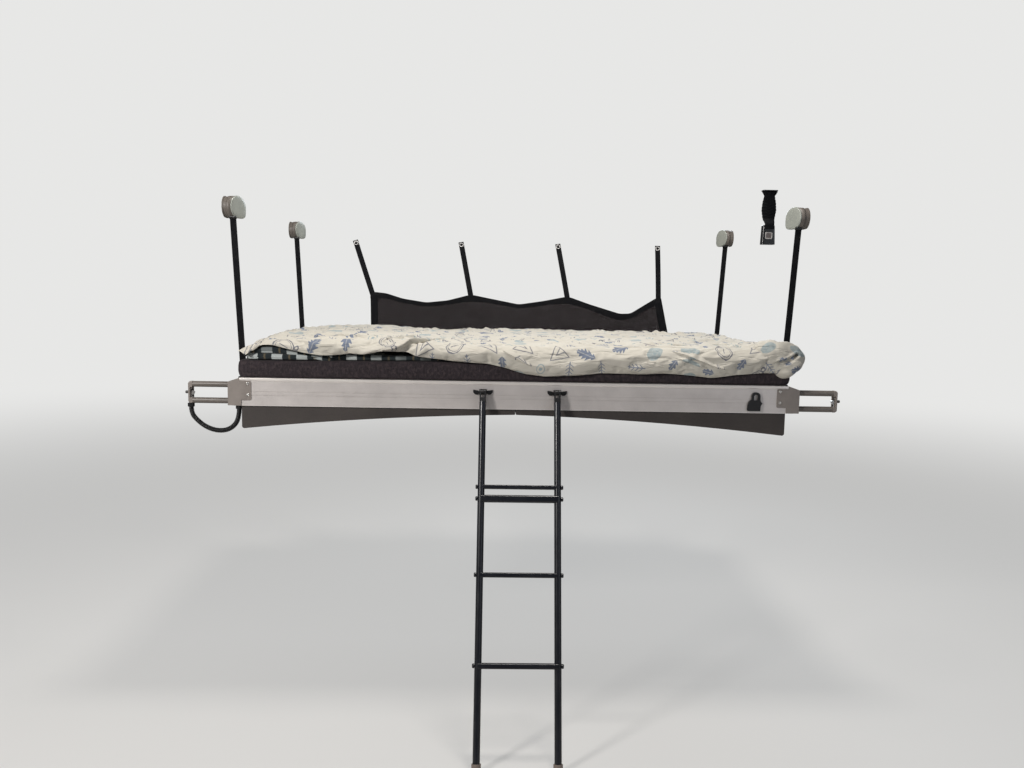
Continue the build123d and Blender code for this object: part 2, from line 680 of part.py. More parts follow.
def make_ladder():
    """Stiles, forks with their pins, treads on tie rods, and rubber feet cut level with the floor."""
    half = stile_spacing / 2
    width, depth, height = floor_block
    below_floor = block(-width / 2, width / 2, ladder_foot_y - depth / 2, ladder_foot_y + depth / 2,
                        floor_level - height, floor_level)
    for side, sign in SIDES:
        place = ladder_place(sign * half)
        end = -(ladder_length - foot_floor_gap)
        stile = rod_z(stile_r, 0, 0, end, -fork_neck) - rod_z(stile_r - stile_wall, 0, 0, end, -fork_neck)
        for distance in rung_distances:
            stile -= rod_x(tie_r + tie_play, -stile_r, stile_r, 0, distance - ladder_length)
        save(f"ladder_stile_{side}", place * stile)

        w, d = fork_width / 2, fork_depth / 2
        fork = block(-w, w, -d, d, -fork_neck, 0) + rod_x(d, -w, w, 0, 0)
        fork -= block(-fork_slot / 2, fork_slot / 2, -d, d, -fork_slot_depth, d)
        fork += rod_x(hinge_pin_r, -w, w, 0, 0)
        fork += rod_z(stile_r - stile_wall - plug_play, 0, 0, -fork_neck - fork_plug, -fork_neck)
        save(f"ladder_hook_{side}", place * fork)

        tip = rod_z(foot_r, 0, 0, -ladder_length - 2 * foot_r, -ladder_length + foot_cover)
        tip -= rod_z(stile_r + plug_play, 0, 0, end, -ladder_length + foot_cover)
        tip = fillet(tip.edges().sort_by(Axis.Z)[-2:], foot_edge)
        save(f"ladder_foot_{side}", place * tip - below_floor)

    for number, (distance, depth, height) in enumerate(zip(rung_distances, rung_depths, rung_heights), 1):
        z = distance - ladder_length
        tread = block(-half, half, -depth / 2, depth / 2, z - height / 2, z + height / 2)
        tread = round_edges(tread, Axis.X, height * rung_edge_share)
        for sign in (-1, 1):
            tread -= rod_z(stile_r + tie_play, sign * half, 0, z - height, z + height)
        reach = half + stile_r + knob_gap
        tread += rod_x(tie_r, -reach - knob_lap, reach + knob_lap, 0, z)
        for sign in (-1, 1):
            knob = rod_x(knob_r, *span(sign, reach, reach + knob_length), 0, z)
            tip = sorted(knob.edges(), key=lambda e: -abs(e.center().X))[0]
            tread += fillet(tip, knob_edge)
        save(f"ladder_rung_{number}", ladder_place() * tread)


def make_conduit():
    """The flexible conduit that hangs in a loop from the frame's left end to the left arm's end block."""
    points = [Vector(-half_rail - outset, arm_y, frame_top - drop) for outset, drop in conduit_route]
    radii = []
    for before, here, after in zip(points, points[1:], points[2:]):
        into, out = here - before, after - here
        turn = math.radians(into.get_angle(out))
        radii.append(0.45 * min(into.length, out.length) / math.tan(turn / 2))
    path = FilletPolyline(*points, radius=radii)
    start = path.wires()[0] if path.wires() else Wire(path.edges())
    section = Plane(origin=start.position_at(0), z_dir=start.tangent_at(0)) * Circle(conduit_r)
    tube = sweep(section, path=start)
    print("conduit radii", [round(r, 1) for r in radii], "length", round(start.length, 1),
          "volume ratio", round(tube.volume / (math.pi * conduit_r**2 * start.length), 4))
    save("conduit", tube)

    glands = []
    for tip, seat in ((points[0], rail_bottom), (points[-1], arm_bottom)):
        gland = rod_z(gland_r, tip.X, tip.Y, tip.Z - gland_length, seat)
        gland -= rod_z(conduit_r + gland_play, tip.X, tip.Y, tip.Z - gland_length, tip.Z)
        glands.append(gland)
    save("conduit_glands", *glands)


os.makedirs("parts", exist_ok=True)
make_frame()
make_soffit()
make_brackets()
make_arms()
make_anchors()
make_belts()
make_bedding()
make_net()
make_lock()
make_receivers()
make_ladder()
make_conduit()
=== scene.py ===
# Looks of a drop-down motorhome bunk: its bedding, webbing, net, fittings and finishes around the CAD frame.
# Metres throughout. +X to the right, +Y forward to the windscreen, +Z up, origin between the four belt
# anchors.
from functools import partialmethod
import math

import bmesh
import bpy
import numpy as np
from mathutils import Matrix, Vector


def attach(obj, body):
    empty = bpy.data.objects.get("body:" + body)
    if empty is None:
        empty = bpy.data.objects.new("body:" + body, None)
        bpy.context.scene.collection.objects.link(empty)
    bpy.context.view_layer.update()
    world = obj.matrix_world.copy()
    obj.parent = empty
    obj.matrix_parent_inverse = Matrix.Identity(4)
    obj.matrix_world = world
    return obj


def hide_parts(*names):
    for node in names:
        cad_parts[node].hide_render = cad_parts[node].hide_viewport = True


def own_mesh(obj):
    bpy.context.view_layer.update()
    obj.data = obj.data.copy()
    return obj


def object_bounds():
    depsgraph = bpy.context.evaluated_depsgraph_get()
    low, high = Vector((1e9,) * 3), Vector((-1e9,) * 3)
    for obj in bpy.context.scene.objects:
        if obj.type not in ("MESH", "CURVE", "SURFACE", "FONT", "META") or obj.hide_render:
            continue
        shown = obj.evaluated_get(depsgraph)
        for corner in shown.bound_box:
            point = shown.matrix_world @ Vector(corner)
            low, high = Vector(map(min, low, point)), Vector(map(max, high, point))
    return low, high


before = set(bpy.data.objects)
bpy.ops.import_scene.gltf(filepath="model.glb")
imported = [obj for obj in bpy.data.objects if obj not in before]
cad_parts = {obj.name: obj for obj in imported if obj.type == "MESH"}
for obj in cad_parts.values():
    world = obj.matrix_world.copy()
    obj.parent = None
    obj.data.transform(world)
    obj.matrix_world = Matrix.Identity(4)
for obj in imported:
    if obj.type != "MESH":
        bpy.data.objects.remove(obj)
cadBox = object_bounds()
print("frame loaded", len(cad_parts), "nodes")


# Shapes: every new surface is a grid of two parameters

mergeDistance = 0.00002
fullTurn = 2 * math.pi


def waves(x, y, count, seed, shortest, longest, turn=math.pi, lean=0.0):
    # a sum of sine waves in random directions within turn of lean, each as high as it is long; about -1 to 1
    draw = np.random.default_rng(seed)
    total, weight = 0.0, 0.0
    for _ in range(count):
        length = draw.uniform(shortest, longest)
        heading = lean + draw.uniform(-turn, turn)
        phase = draw.uniform(0, fullTurn)
        bend = 0.6 * np.sin((x * math.sin(heading) - y * math.cos(heading)) * 2.3 / length + phase * 2)
        along = (x * math.cos(heading) + y * math.sin(heading)) * fullTurn / length
        total = total + length * np.sin(along + phase + bend)
        weight += length * length / 2
    return total / math.sqrt(weight) / 2


def smoothStep(value, low, high):
    # 0 below low, 1 above high, and a smooth rise between
    t = np.clip((value - low) / (high - low), 0, 1)
    return t * t * (3 - 2 * t)


def bell(value, middle, width):
    # a smooth bump of height 1 round middle
    return np.exp(-((value - middle) / width) ** 2)


def smoothLine(table, x, softness=0.02):
    # the line through a table's points, with its corners averaged away over softness
    xs, ys = np.array(table, float).T
    offsets = np.linspace(-1, 1, 9) * softness
    return np.mean([np.interp(x + offset, xs, ys) for offset in offsets], axis=0)


def refined(line, count):
    # points spread evenly over the numbers of a line's points
    marks = np.linspace(0, len(line) - 1, count)
    return np.stack([np.interp(marks, np.arange(len(line)), column) for column in np.array(line).T], axis=-1)


def distanceTo(line, x, y):
    # from each point of a grid to the nearest point of the line, taken in parts that keep the arrays small
    away = np.full(x.shape, 9.0)
    for start in range(0, len(line), 20):
        part = line[start:start + 20]
        away = np.minimum(away, np.hypot(x[..., None] - part[:, 0], y[..., None] - part[:, 1]).min(axis=-1))
    return away


def spotsOn(grid, row, column):
    # the grid's values at places between its points, by the four points around each
    i = np.clip(row.astype(int), 0, grid.shape[0] - 2)
    j = np.clip(column.astype(int), 0, grid.shape[1] - 2)
    a, b = (row - i)[..., None], (column - j)[..., None]
    near = grid[i, j] * (1 - a) + grid[i + 1, j] * a
    return near * (1 - b) + (grid[i, j + 1] * (1 - a) + grid[i + 1, j + 1] * a) * b


def surfaceNormals(grid):
    # the cross product of the two directions along the grid, made one long
    normal = np.cross(np.gradient(grid, axis=1), -np.gradient(grid, axis=0))
    return normal / np.linalg.norm(normal, axis=-1, keepdims=True)


def gridQuads(rows, columns, wrapRows, wrapColumns, start):
    # the four corner numbers of each cell of a grid of points
    i, j = np.meshgrid(np.arange(rows - (not wrapRows)), np.arange(columns - (not wrapColumns)), indexing="ij")
    nextI, nextJ = (i + 1) % rows, (j + 1) % columns
    corners = (i * columns + j, nextI * columns + j, nextI * columns + nextJ, i * columns + nextJ)
    return np.stack(corners, axis=-1).reshape(-1, 4) + start


def makePiece(name, grids, uvs=None, smooth=True, closed=True):
    # one object from grids of (points, wrapRows, wrapColumns); a closed one is merged and its faces turned
    # outward
    points, quads, start = [], [], 0
    for grid, wrapRows, wrapColumns in grids:
        quads.append(gridQuads(*grid.shape[:2], wrapRows, wrapColumns, start))
        points.append(grid.reshape(-1, 3))
        start += len(points[-1])
    points, quads = np.concatenate(points), np.concatenate(quads)
    mesh = bpy.data.meshes.new(name)
    mesh.vertices.add(len(points))
    mesh.vertices.foreach_set("co", points.ravel())
    mesh.loops.add(quads.size)
    mesh.loops.foreach_set("vertex_index", quads.ravel())
    mesh.polygons.add(len(quads))
    mesh.polygons.foreach_set("loop_start", np.arange(0, quads.size, 4))
    mesh.update(calc_edges=True)
    if uvs is not None:
        flat = np.concatenate([uv.reshape(-1, 2) for uv in uvs])
        mesh.uv_layers.new(name="weave").uv.foreach_set("vector", flat[quads.ravel()].ravel())
    if closed:
        solid = bmesh.new()
        solid.from_mesh(mesh)
        bmesh.ops.remove_doubles(solid, verts=solid.verts, dist=mergeDistance)
        bmesh.ops.recalc_face_normals(solid, faces=solid.faces)
        solid.to_mesh(mesh)
        solid.free()
    mesh.polygons.foreach_set("use_smooth", np.full(len(mesh.polygons), smooth))
    piece = bpy.data.objects.new(name, mesh)
    bpy.context.collection.objects.link(piece)
    return piece


def turned(profile, middle, direction, sides=24):
    # a profile of (radius, distance) turned round the line through middle along direction
    axis = np.array(direction, float) / np.linalg.norm(direction)
    side = np.cross(axis, (0, 0, 1) if abs(axis[2]) < 0.9 else (1, 0, 0))
    side /= np.linalg.norm(side)
    angle = np.linspace(0, fullTurn, sides, endpoint=False)[None, :, None]
    radius, distance = np.array(profile, float).T[:, :, None, None]
    ring = np.cos(angle) * side + np.sin(angle) * np.cross(axis, side)
    return np.array(middle) + distance * axis + radius * ring, False, True


def swept(path, across, profile):
    # a closed profile of (across, up), or one for each point, carried along a path; up is square to across
    # and path
    path = np.array(path, float)
    along = np.gradient(path, axis=0)
    along /= np.linalg.norm(along, axis=1, keepdims=True)
    across = across - along * np.sum(across * along, axis=1, keepdims=True)
    across /= np.linalg.norm(across, axis=1, keepdims=True)
    up = np.cross(along, across)
    profile = np.array(profile, float)
    return path[:, None] + profile[..., :1] * across[:, None] + profile[..., 1:] * up[:, None]


def capped(tube):
    # the tube with its two end rings drawn in to their middles
    first, last = (np.broadcast_to(ring.mean(axis=0), ring.shape)[None] for ring in (tube[0], tube[-1]))
    return np.concatenate((first, tube, last))


def strand(path, across, profile):
    # a profile carried along a path and closed at both ends, as one grid for makePiece
    return capped(swept(path, across, profile)), False, True


def strapProfile(width, thickness, sides=20, power=0.35):
    # a strap's section: a circle with its cosine and sine raised to a power, flat when it is small and
    # round at 1
    angle = np.linspace(0, fullTurn, sides, endpoint=False)
    across, up = (np.sign(f(angle)) * np.abs(f(angle)) ** power for f in (np.cos, np.sin))
    return np.stack((across * width / 2, up * thickness / 2), axis=-1)


def roundedLoop(halfX, halfY, corner, count):
    # points evenly round a rectangle: the corner's centre and the direction out from it change in turn
    # along the way
    x, y, arc = halfX - corner, halfY - corner, corner * math.pi / 2
    steps = np.cumsum((0, *(2 * y, arc, 2 * x, arc) * 2))
    s = np.linspace(0, steps[-1], count, endpoint=False)
    centreX = np.interp(s, steps, (x, x, x, -x, -x, -x, -x, x, x))
    centreY = np.interp(s, steps, (-y, y, y, y, y, -y, -y, -y, -y))
    angle = np.interp(s, steps, (0, 0, 1, 1, 2, 2, 3, 3, 4)) * math.pi / 2
    return centreX + corner * np.cos(angle), centreY + corner * np.sin(angle)


def padGrid(halfX, halfY, corner, profile, count):
    # a rounded rectangle drawn in by each row's inset and set at its height, from the top's middle line to
    # the bottom's
    rows = []
    for inset, height in profile:
        inset = min(inset, halfY - 0.002)
        x, y = roundedLoop(halfX - inset, halfY - inset, max(corner - inset, 0.001), count)
        rows.append(np.stack((x, y, np.full(count, height)), axis=-1))
    return np.array(rows)


# Finishes: each one is a small node tree that reads Object coordinates or the piece's own map

def plug(tree, value, socket):
    # links a value to a socket, or sets the socket to a plain number or colour
    value = getattr(value, "socket", value)
    if isinstance(value, bpy.types.NodeSocket):
        tree.links.new(value, socket)
    else:
        socket.default_value = value


class Value:
    # an output that can stand in sums: each sign between it and another value or number is a Math node
    def __init__(self, nodes, socket):
        self.nodes, self.socket = nodes, socket

    def math(self, operation, other=0.0):
        return self.nodes.value("ShaderNodeMath", {0: self, 1: other}, operation=operation)

    def __rsub__(self, other):
        return self.nodes.value("ShaderNodeMath", {0: other, 1: self}, operation="SUBTRACT")

    def ramp(self, low, high, a=0.0, b=1.0):
        inputs = {"Value": self, "From Min": low, "From Max": high, "To Min": a, "To Max": b}
        return self.nodes.value("ShaderNodeMapRange", inputs, "Result")

    __add__ = partialmethod(math, "ADD")
    __sub__ = partialmethod(math, "SUBTRACT")
    __mul__ = partialmethod(math, "MULTIPLY")
    __truediv__ = partialmethod(math, "DIVIDE")
    __pow__ = partialmethod(math, "POWER")
    __abs__ = partialmethod(math, "ABSOLUTE")
    larger = partialmethod(math, "MAXIMUM")
    sine = partialmethod(math, "SINE")
    floor = partialmethod(math, "FLOOR")
    fract = partialmethod(math, "FRACT")
    root = partialmethod(math, "SQRT")


class Nodes:
    # short calls that add nodes to a tree
    def __init__(self, tree):
        self.tree = tree

    def node(self, kind, inputs, **settings):
        made = self.tree.nodes.new(kind)
        for name, value in settings.items():
            setattr(made, name, value)
        for name, value in inputs.items():
            plug(self.tree, value, made.inputs[name])
        return made.outputs

    def value(self, kind, inputs, output=0, **settings):
        return Value(self, self.node(kind, inputs, **settings)[output])

    def mix(self, factor, a, b):
        first, second = ((*color, 1) if isinstance(color, tuple) else color for color in (a, b))
        return self.node("ShaderNodeMix", {0: factor, 6: first, 7: second}, data_type="RGBA")[2]


class Finish(Nodes):
    # a material; its noises read the piece's place, which is Object coordinates unless the finish takes the
    # map
    def __init__(self, name, color, roughness, metallic=0.0, **sockets):
        self.material = bpy.data.materials.new(name)
        self.material.use_nodes = True
        super().__init__(self.material.node_tree)
        self.shader = self.tree.nodes["Principled BSDF"]
        self.wired(Base_Color=(*color, 1), Roughness=roughness, Metallic=metallic, **sockets)
        self.place = self.node("ShaderNodeTexCoord", {})["Object"]

    def wired(self, **values):
        # the material, with each value linked to or set on the shader's socket of that name
        for name, value in values.items():
            plug(self.tree, value, self.shader.inputs[name.replace("_", " ")])
        return self.material

    def map(self):
        return self.node("ShaderNodeUVMap", {}, uv_map="weave")["UV"]

    def axes(self, source=None):
        outputs = self.node("ShaderNodeSeparateXYZ", {0: self.place if source is None else source})
        return [Value(self, output) for output in outputs]

    def noise(self, scale, detail=3.0, roughness=0.55):
        # one scale, or three that stretch it
        place = self.place
        if isinstance(scale, tuple):
            place, scale = self.node("ShaderNodeMapping", {"Vector": place, "Scale": scale})["Vector"], 1.0
        inputs = {"Vector": place, "Scale": scale, "Detail": detail, "Roughness": roughness}
        return self.value("ShaderNodeTexNoise", inputs, "Fac")

    def bump(self, height, strength, distance, **under):
        inputs = {"Height": height, "Strength": strength, "Distance": distance, **under}
        return self.node("ShaderNodeBump", inputs)["Normal"]


def shade(color, factor):
    return tuple(min(1.0, c * factor) for c in color)


def aluminiumFinish(name, along, color=(0.725, 0.682, 0.660)):
    # anodised extrusion: draw lines along its length, faint handling marks, painted highlights on both lips
    f = Finish(name, color, 0.34, 0.5)
    lines = f.noise(tuple(2.0 if axis == along else 900.0 for axis in range(3)), 2.0)
    tone = lines * 0.35 + f.noise(9.0, 6.0, 0.7) * 0.65
    face = f.mix(tone.ramp(0.3, 0.7), shade(color, 0.90), shade(color, 1.07))
    # painted highlight: the top and bottom lips are mixed towards a pale colour by their height
    level = f.axes()[2]
    painted_lip_highlight = level.ramp(-0.6612, -0.6602).larger(level.ramp(-0.7532, -0.7522, 1.0, 0.0))
    return f.wired(Base_Color=f.mix(painted_lip_highlight * 0.8, face, (0.88, 0.84, 0.80)),
                   Roughness=tone.ramp(0.3, 0.7, 0.30, 0.44), Normal=f.bump(lines, 0.12, 0.0004))


def paintFinish(name, color, roughness, wear=0.12, depth=0.00015):
    # powder coat: fine orange peel, slightly lighter where hands and straps rub it
    f = Finish(name, color, roughness)
    patches = f.noise(14.0, 5.0, 0.65).ramp(0.42, 0.70)
    return f.wired(Base_Color=f.mix(patches * wear, color, shade(color, 2.2)),
                   Roughness=patches.ramp(0.0, 1.0, roughness, roughness + 0.14),
                   Normal=f.bump(f.noise(2600.0, 1.0), 0.25, depth))


def plasticFinish(name, color, roughness, depth=0.0002):
    # moulded plastic: spark-eroded grain and a faint change of shade
    f = Finish(name, color, roughness)
    cloud = f.noise(22.0)
    return f.wired(Base_Color=f.mix(cloud.ramp(0.35, 0.7), shade(color, 0.92), shade(color, 1.08)),
                   Roughness=cloud.ramp(0.3, 0.7, roughness - 0.05, roughness + 0.07),
                   Normal=f.bump(f.noise(1400.0, 2.0), 0.3, depth))


def webbingFinish(name, color, pitch=0.0022):
    # woven strap: a twill of slanted ribs, from two sine products across and along the strap
    f = Finish(name, color, 0.85, Specular_IOR_Level=0.12)
    x, y, z = f.axes()
    across, turns = x + y, fullTurn / pitch
    ribs = (z * turns + across * (turns * 1.7)).sine()
    weave = (ribs * ((across * (turns * 1.1)).sine() + 1.4)).ramp(-2.0, 2.0)
    tone = f.mix(weave, shade(color, 0.6), shade(color, 1.7))
    dust = f.noise(30.0, 4.0).ramp(0.45, 0.8)
    return f.wired(Base_Color=f.mix(dust * 0.08, tone, (0.08, 0.075, 0.07)),
                   Normal=f.bump(weave, 0.5, 0.0004))


def netFinish(name, color=(0.0088, 0.0064, 0.0072), pitch=0.0034):
    # knitted mesh: round holes in staggered rows let light through
    f = Finish(name, color, 0.85, Specular_IOR_Level=0.12)
    x, y, z = f.axes()
    up = z / pitch
    cellX = (x / pitch + up.floor() * 0.5).fract() - 0.5
    cellZ = up.fract() - 0.5
    thread = (cellX ** 2.0 + cellZ ** 2.0).root().ramp(0.06, 0.09)
    return f.wired(Alpha=thread, Base_Color=f.mix(f.noise(60.0), shade(color, 0.7), shade(color, 2.0)))


def mattressFinish(name, color=(0.0215, 0.0160, 0.0190)):
    # heathered upholstery cloth: short lighter and darker yarns, gathered in mottled patches a finger wide
    f = Finish(name, color, 0.9, Specular_IOR_Level=0.3, Sheen_Weight=0.05, Sheen_Roughness=0.5)
    mixed = f.noise((900.0, 900.0, 260.0), 3.0, 0.6) * 0.6 + f.noise((240.0, 240.0, 40.0), 2.0) * 0.4
    mottle = f.noise((85.0, 85.0, 70.0), 2.0, 0.6).ramp(0.50, 0.62, 0.0, 0.55)
    nap = f.noise(7.0, 4.0, 0.6).ramp(0.35, 0.75, 0.0, 0.20)
    tone = f.mix(mixed.ramp(0.38, 0.66), shade(color, 0.45), shade(color, 2.0))
    tone = f.mix(mottle, tone, (0.056, 0.041, 0.043))
    return f.wired(Base_Color=f.mix(nap, tone, (0.030, 0.023, 0.026)), Normal=f.bump(mixed, 0.45, 0.0008))


def plaidFinish(name, period=0.0935, soft=0.010):
    # a check of black, green and white: white where two wide bands cross, green where one does, thin tan
    # lines
    f = Finish(name, (0.02, 0.03, 0.03), 0.92, Sheen_Weight=0.12, Sheen_Roughness=0.5)

    def band(axis, middle, share):
        away = abs(((axis - middle) / period + 10.5).fract() - 0.5)
        return away.ramp(share / 2 - soft, share / 2 + soft, 1.0, 0.0)

    along, down, _ = f.axes(f.map())
    wideX, wideY = band(along, -0.905, 0.43), band(down, 0.0, 0.43)
    thin = band(along, -0.858, 0.075).larger(band(down, 0.047, 0.075))
    both = wideX * wideY
    x, y, z = f.axes()
    # the white where the wide bands cross is dimmer to the right of x -0.43 and below z -0.552
    dimmed_right_and_low = x.ramp(-0.53, -0.43, 1.0, 0.25) * z.ramp(-0.552, -0.545, 1.0, 0.35)
    tone = f.mix(wideX + wideY - both * 2.0, (0.006, 0.011, 0.014), (0.005, 0.012, 0.015))
    tone = f.mix(both * dimmed_right_and_low, tone, (0.46, 0.50, 0.49))
    tone = f.mix(thin * 0.55, tone, (0.20, 0.15, 0.08))
    fluff = f.noise(700.0, 3.0, 0.7)
    return f.wired(Base_Color=f.mix(fluff.ramp(0.3, 0.7, 0.0, 0.16), tone, (0.020, 0.026, 0.028)),
                   Normal=f.bump(fluff, 0.7, 0.0016))


printDyes = {
    "cream": (0.52, 0.494, 0.432),
    "slate": (0.105, 0.140, 0.215),
    "pale": (0.235, 0.305, 0.330),
    "ink": (0.050, 0.062, 0.105),
}


def printFinish(name, pitch=0.128):
    # cream cotton with motifs on two loose grids, each in its own turn: leaf, pebble, tent, oval; sprig,
    # ring, small leaf
    cream, slate, pale, ink = printDyes.values()
    f = Finish(name, cream, 0.85, Specular_IOR_Level=0.3, Sheen_Weight=0.10, Sheen_Roughness=0.4)
    f.place = f.map()
    wobble = (f.noise(60.0, 2.0) - 0.5) * 0.010

    def cell(shift, smallest, largest):
        # the nearest motif's chance, and the place within it, turned and sized by chance
        moved = f.node("ShaderNodeVectorMath", {0: f.place, 1: (shift, shift, 0)})["Vector"]
        inputs = {"Vector": moved, "Scale": 1 / pitch, "Randomness": 0.25}
        point = f.node("ShaderNodeTexVoronoi", inputs, feature="F1", voronoi_dimensions="2D")
        draws = f.node("ShaderNodeSeparateColor", {0: point["Color"]})
        chance, turn, size = (Value(f, draw) for draw in draws)
        inputs = {0: moved, 1: point["Position"]}
        local = f.node("ShaderNodeVectorMath", inputs, operation="SUBTRACT")["Vector"]
        inputs = {"Vector": local, "Angle": turn * fullTurn}
        x, y, z = f.axes(f.node("ShaderNodeVectorRotate", inputs, rotation_type="Z_AXIS")[0])
        size = size.ramp(0.0, 1.0, smallest, largest)
        return chance, x / size, y / size

    def radius(x, y, stretchX, stretchY):
        return ((x * stretchX) ** 2.0 + (y * stretchY) ** 2.0).root() + wobble

    def line(distance, half=0.0012):
        return abs(distance).ramp(half, half + 0.0012, 1.0, 0.0)

    def leafShape(x, y, long, wide):
        side, taper = abs(y), 1.0 - (abs(x) / long) ** 2.0
        teeth = (x * 470.0 + side * 340.0).sine() * (wide * 0.34) * taper.larger(0.0)
        return (taper * wide - side + teeth).ramp(0.0, 0.0012) * (1.0 - line(y, 0.0005) * 0.5)

    chance, x, y = cell(0.0, 1.05, 1.25)
    side = abs(x)
    leaf = leafShape(x, y, 0.034, 0.0150)
    pebble = radius(x, y, 0.82, 1.15).ramp(0.0250, 0.0262, 1.0, 0.0)
    pebble = pebble * f.noise(120.0).ramp(0.35, 0.65, 0.65, 1.0)
    body = radius(x, y, 0.95, 1.32)
    needle = line(y - x * 0.35, 0.0006) * body.ramp(0.014, 0.015, 1.0, 0.0)
    oval = line(body - 0.0300).larger(line(body - 0.0235, 0.0004)).larger(needle)
    oval = oval.larger(line(radius(x - 0.0395, y, 1.0, 1.0) - 0.0062, 0.0018))
    slope = side * 0.86 + y * 0.5 - 0.0165
    base = y * -1.0 - 0.0230
    inside = slope.ramp(-0.001, 0.0, 1.0, 0.0) * base.ramp(-0.001, 0.0, 1.0, 0.0)
    door = line(side * 0.9 - (0.006 - y) * 0.35)
    tent = line(slope.larger(base) + wobble * 0.3).larger(door * inside)

    chanceB, x, y = cell(pitch / 2, 1.10, 1.40)
    within = radius(x, y, 0.9, 2.0).ramp(0.0210, 0.0220, 1.0, 0.0)
    barbs = ((x - abs(y) * 0.9) * 90.0).fract()
    sprig = line(y, 0.0008).larger(line((barbs - 0.5) * 0.0111, 0.0010)) * within
    small = leafShape(x, y, 0.022, 0.0105)
    ring = line(radius(x, y, 1.0, 1.25) - 0.0150, 0.0010)
    ring = ring.larger(radius(x, y, 1.0, 1.0).ramp(0.0050, 0.0058, 1.0, 0.0))

    tone = f.mix(f.noise(2.5).ramp(0.35, 0.7), shade(cream, 0.95), shade(cream, 1.04))
    layers = (
        (leaf, slate, chance, 0.0, 0.32, 0.88), (pebble, pale, chance, 0.32, 0.55, 0.88),
        (oval, ink, chance, 0.55, 0.80, 0.80), (tent, ink, chance, 0.80, 1.01, 0.70),
        (sprig, slate, chanceB, 0.0, 0.35, 0.80), (small, slate, chanceB, 0.35, 0.70, 0.85),
        (ring, pale, chanceB, 0.70, 1.01, 0.85),
    )
    for motif, dye, draw, low, high, strength in layers:
        chosen = draw.math("GREATER_THAN", low) * draw.math("LESS_THAN", high)
        tone = f.mix(motif * chosen * strength, tone, dye)
    creases = abs(f.noise((6.0, 20.0, 1.0), 4.0, 0.5) - 0.5)
    weave = f.bump(f.noise((900.0, 900.0, 1.0), 1.0), 0.15, 0.0004)
    return f.wired(Base_Color=tone, Normal=f.bump(creases.ramp(0.0, 0.06), 0.6, 0.0035, Normal=weave))


def soffitFinish(name, color=(0.040, 0.033, 0.030)):
    # wrapped panel: soft vinyl with a small leather grain
    f = Finish(name, color, 0.62)
    inputs = {"Vector": f.place, "Scale": 420.0}
    pores = f.value("ShaderNodeTexVoronoi", inputs, "Distance", feature="DISTANCE_TO_EDGE")
    cloud = f.noise(5.0, 4.0)
    return f.wired(Base_Color=f.mix(cloud.ramp(0.35, 0.7), shade(color, 0.85), shade(color, 1.2)),
                   Roughness=cloud.ramp(0.3, 0.7, 0.55, 0.68),
                   Normal=f.bump(pores.ramp(0.0, 0.25), 0.35, 0.0005))


def plywoodFinish(name, color=(0.52, 0.38, 0.23)):
    # birch plywood: long figure across the face, plies on the edge
    f = Finish(name, color, 0.6)
    figure = f.noise((1.5, 28.0, 1.0), 5.0, 0.6)
    plies = (f.axes()[2] * 3100.0).sine().ramp(-0.2, 0.2, 0.0, 0.25)
    tone = f.mix(figure.ramp(0.35, 0.68), shade(color, 0.8), shade(color, 1.15))
    return f.wired(Base_Color=f.mix(plies, tone, shade(color, 0.55)), Normal=f.bump(figure, 0.2, 0.0005))


def rubberFinish(name, color):
    # rubber: scuffed, a little dusty
    f = Finish(name, color, 0.6)
    scuff = f.noise((60.0, 60.0, 220.0), 5.0, 0.7).ramp(0.45, 0.75)
    return f.wired(Base_Color=f.mix(scuff * 0.35, color, shade(color, 0.55)),
                   Normal=f.bump(scuff, 0.2, 0.0003))


def steelFinish(name, color=(0.62, 0.61, 0.59)):
    # plated steel: small bright parts
    f = Finish(name, color, 0.28, 1.0)
    return f.wired(Roughness=f.noise(300.0).ramp(0.3, 0.7, 0.22, 0.40))


finishes = {
    "rail": aluminiumFinish("champagne extrusion", 0),
    "sideRail": aluminiumFinish("champagne side extrusion", 1),
    "bracket": paintFinish("grey beige powder coat", (0.212, 0.188, 0.171), 0.42),
    "rod": paintFinish("grey beige rod coat", (0.122, 0.108, 0.096), 0.36),
    # the coat's blue tint is a painted reflection of blue window light
    "ladder": paintFinish("black ladder coat", (0.0028, 0.0040, 0.0080), 0.30, wear=0.03, depth=0.00003),
    "eyelet": paintFinish("satin eyelet", (0.62, 0.61, 0.60), 0.45),
    "anchorCover": plasticFinish("light grey shell", (0.30, 0.315, 0.285), 0.30, depth=0.00006),
    "anchorBase": plasticFinish("grey base", (0.120, 0.105, 0.092), 0.5, depth=0.00010),
    "bumper": plasticFinish("grey buffer rubber", (0.075, 0.070, 0.066), 0.6),
    "blackPlastic": plasticFinish("black moulding", (0.008, 0.008, 0.009), 0.40),
    "glossPlastic": plasticFinish("smooth black moulding", (0.007, 0.007, 0.008), 0.24, depth=0.00008),
    "buttonRim": plasticFinish("light button rim", (0.48, 0.46, 0.44), 0.32),
    "button": plasticFinish("button grey", (0.15, 0.125, 0.12), 0.40),
    "webbing": webbingFinish("black webbing", (0.0045, 0.0048, 0.0060)),
    "net": netFinish("black mesh"),
    "mattress": mattressFinish("heather upholstery"),
    "plaid": plaidFinish("plaid fleece"),
    "print": printFinish("printed cotton"),
    "soffit": soffitFinish("wrapped soffit"),
    "plywood": plywoodFinish("birch plywood"),
    "footRubber": rubberFinish("beige rubber", (0.185, 0.152, 0.130)),
    "steel": steelFinish("plated steel"),
}
print("finishes made", len(finishes))


def dress(piece, finish, slotName, body, *nodes):
    # gives a new piece its finish, the body that it rides on, and the CAD nodes that it stands for
    piece.data.materials.append(finishes[finish])
    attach(piece, body)
    if nodes:
        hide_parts(*nodes)
    return piece


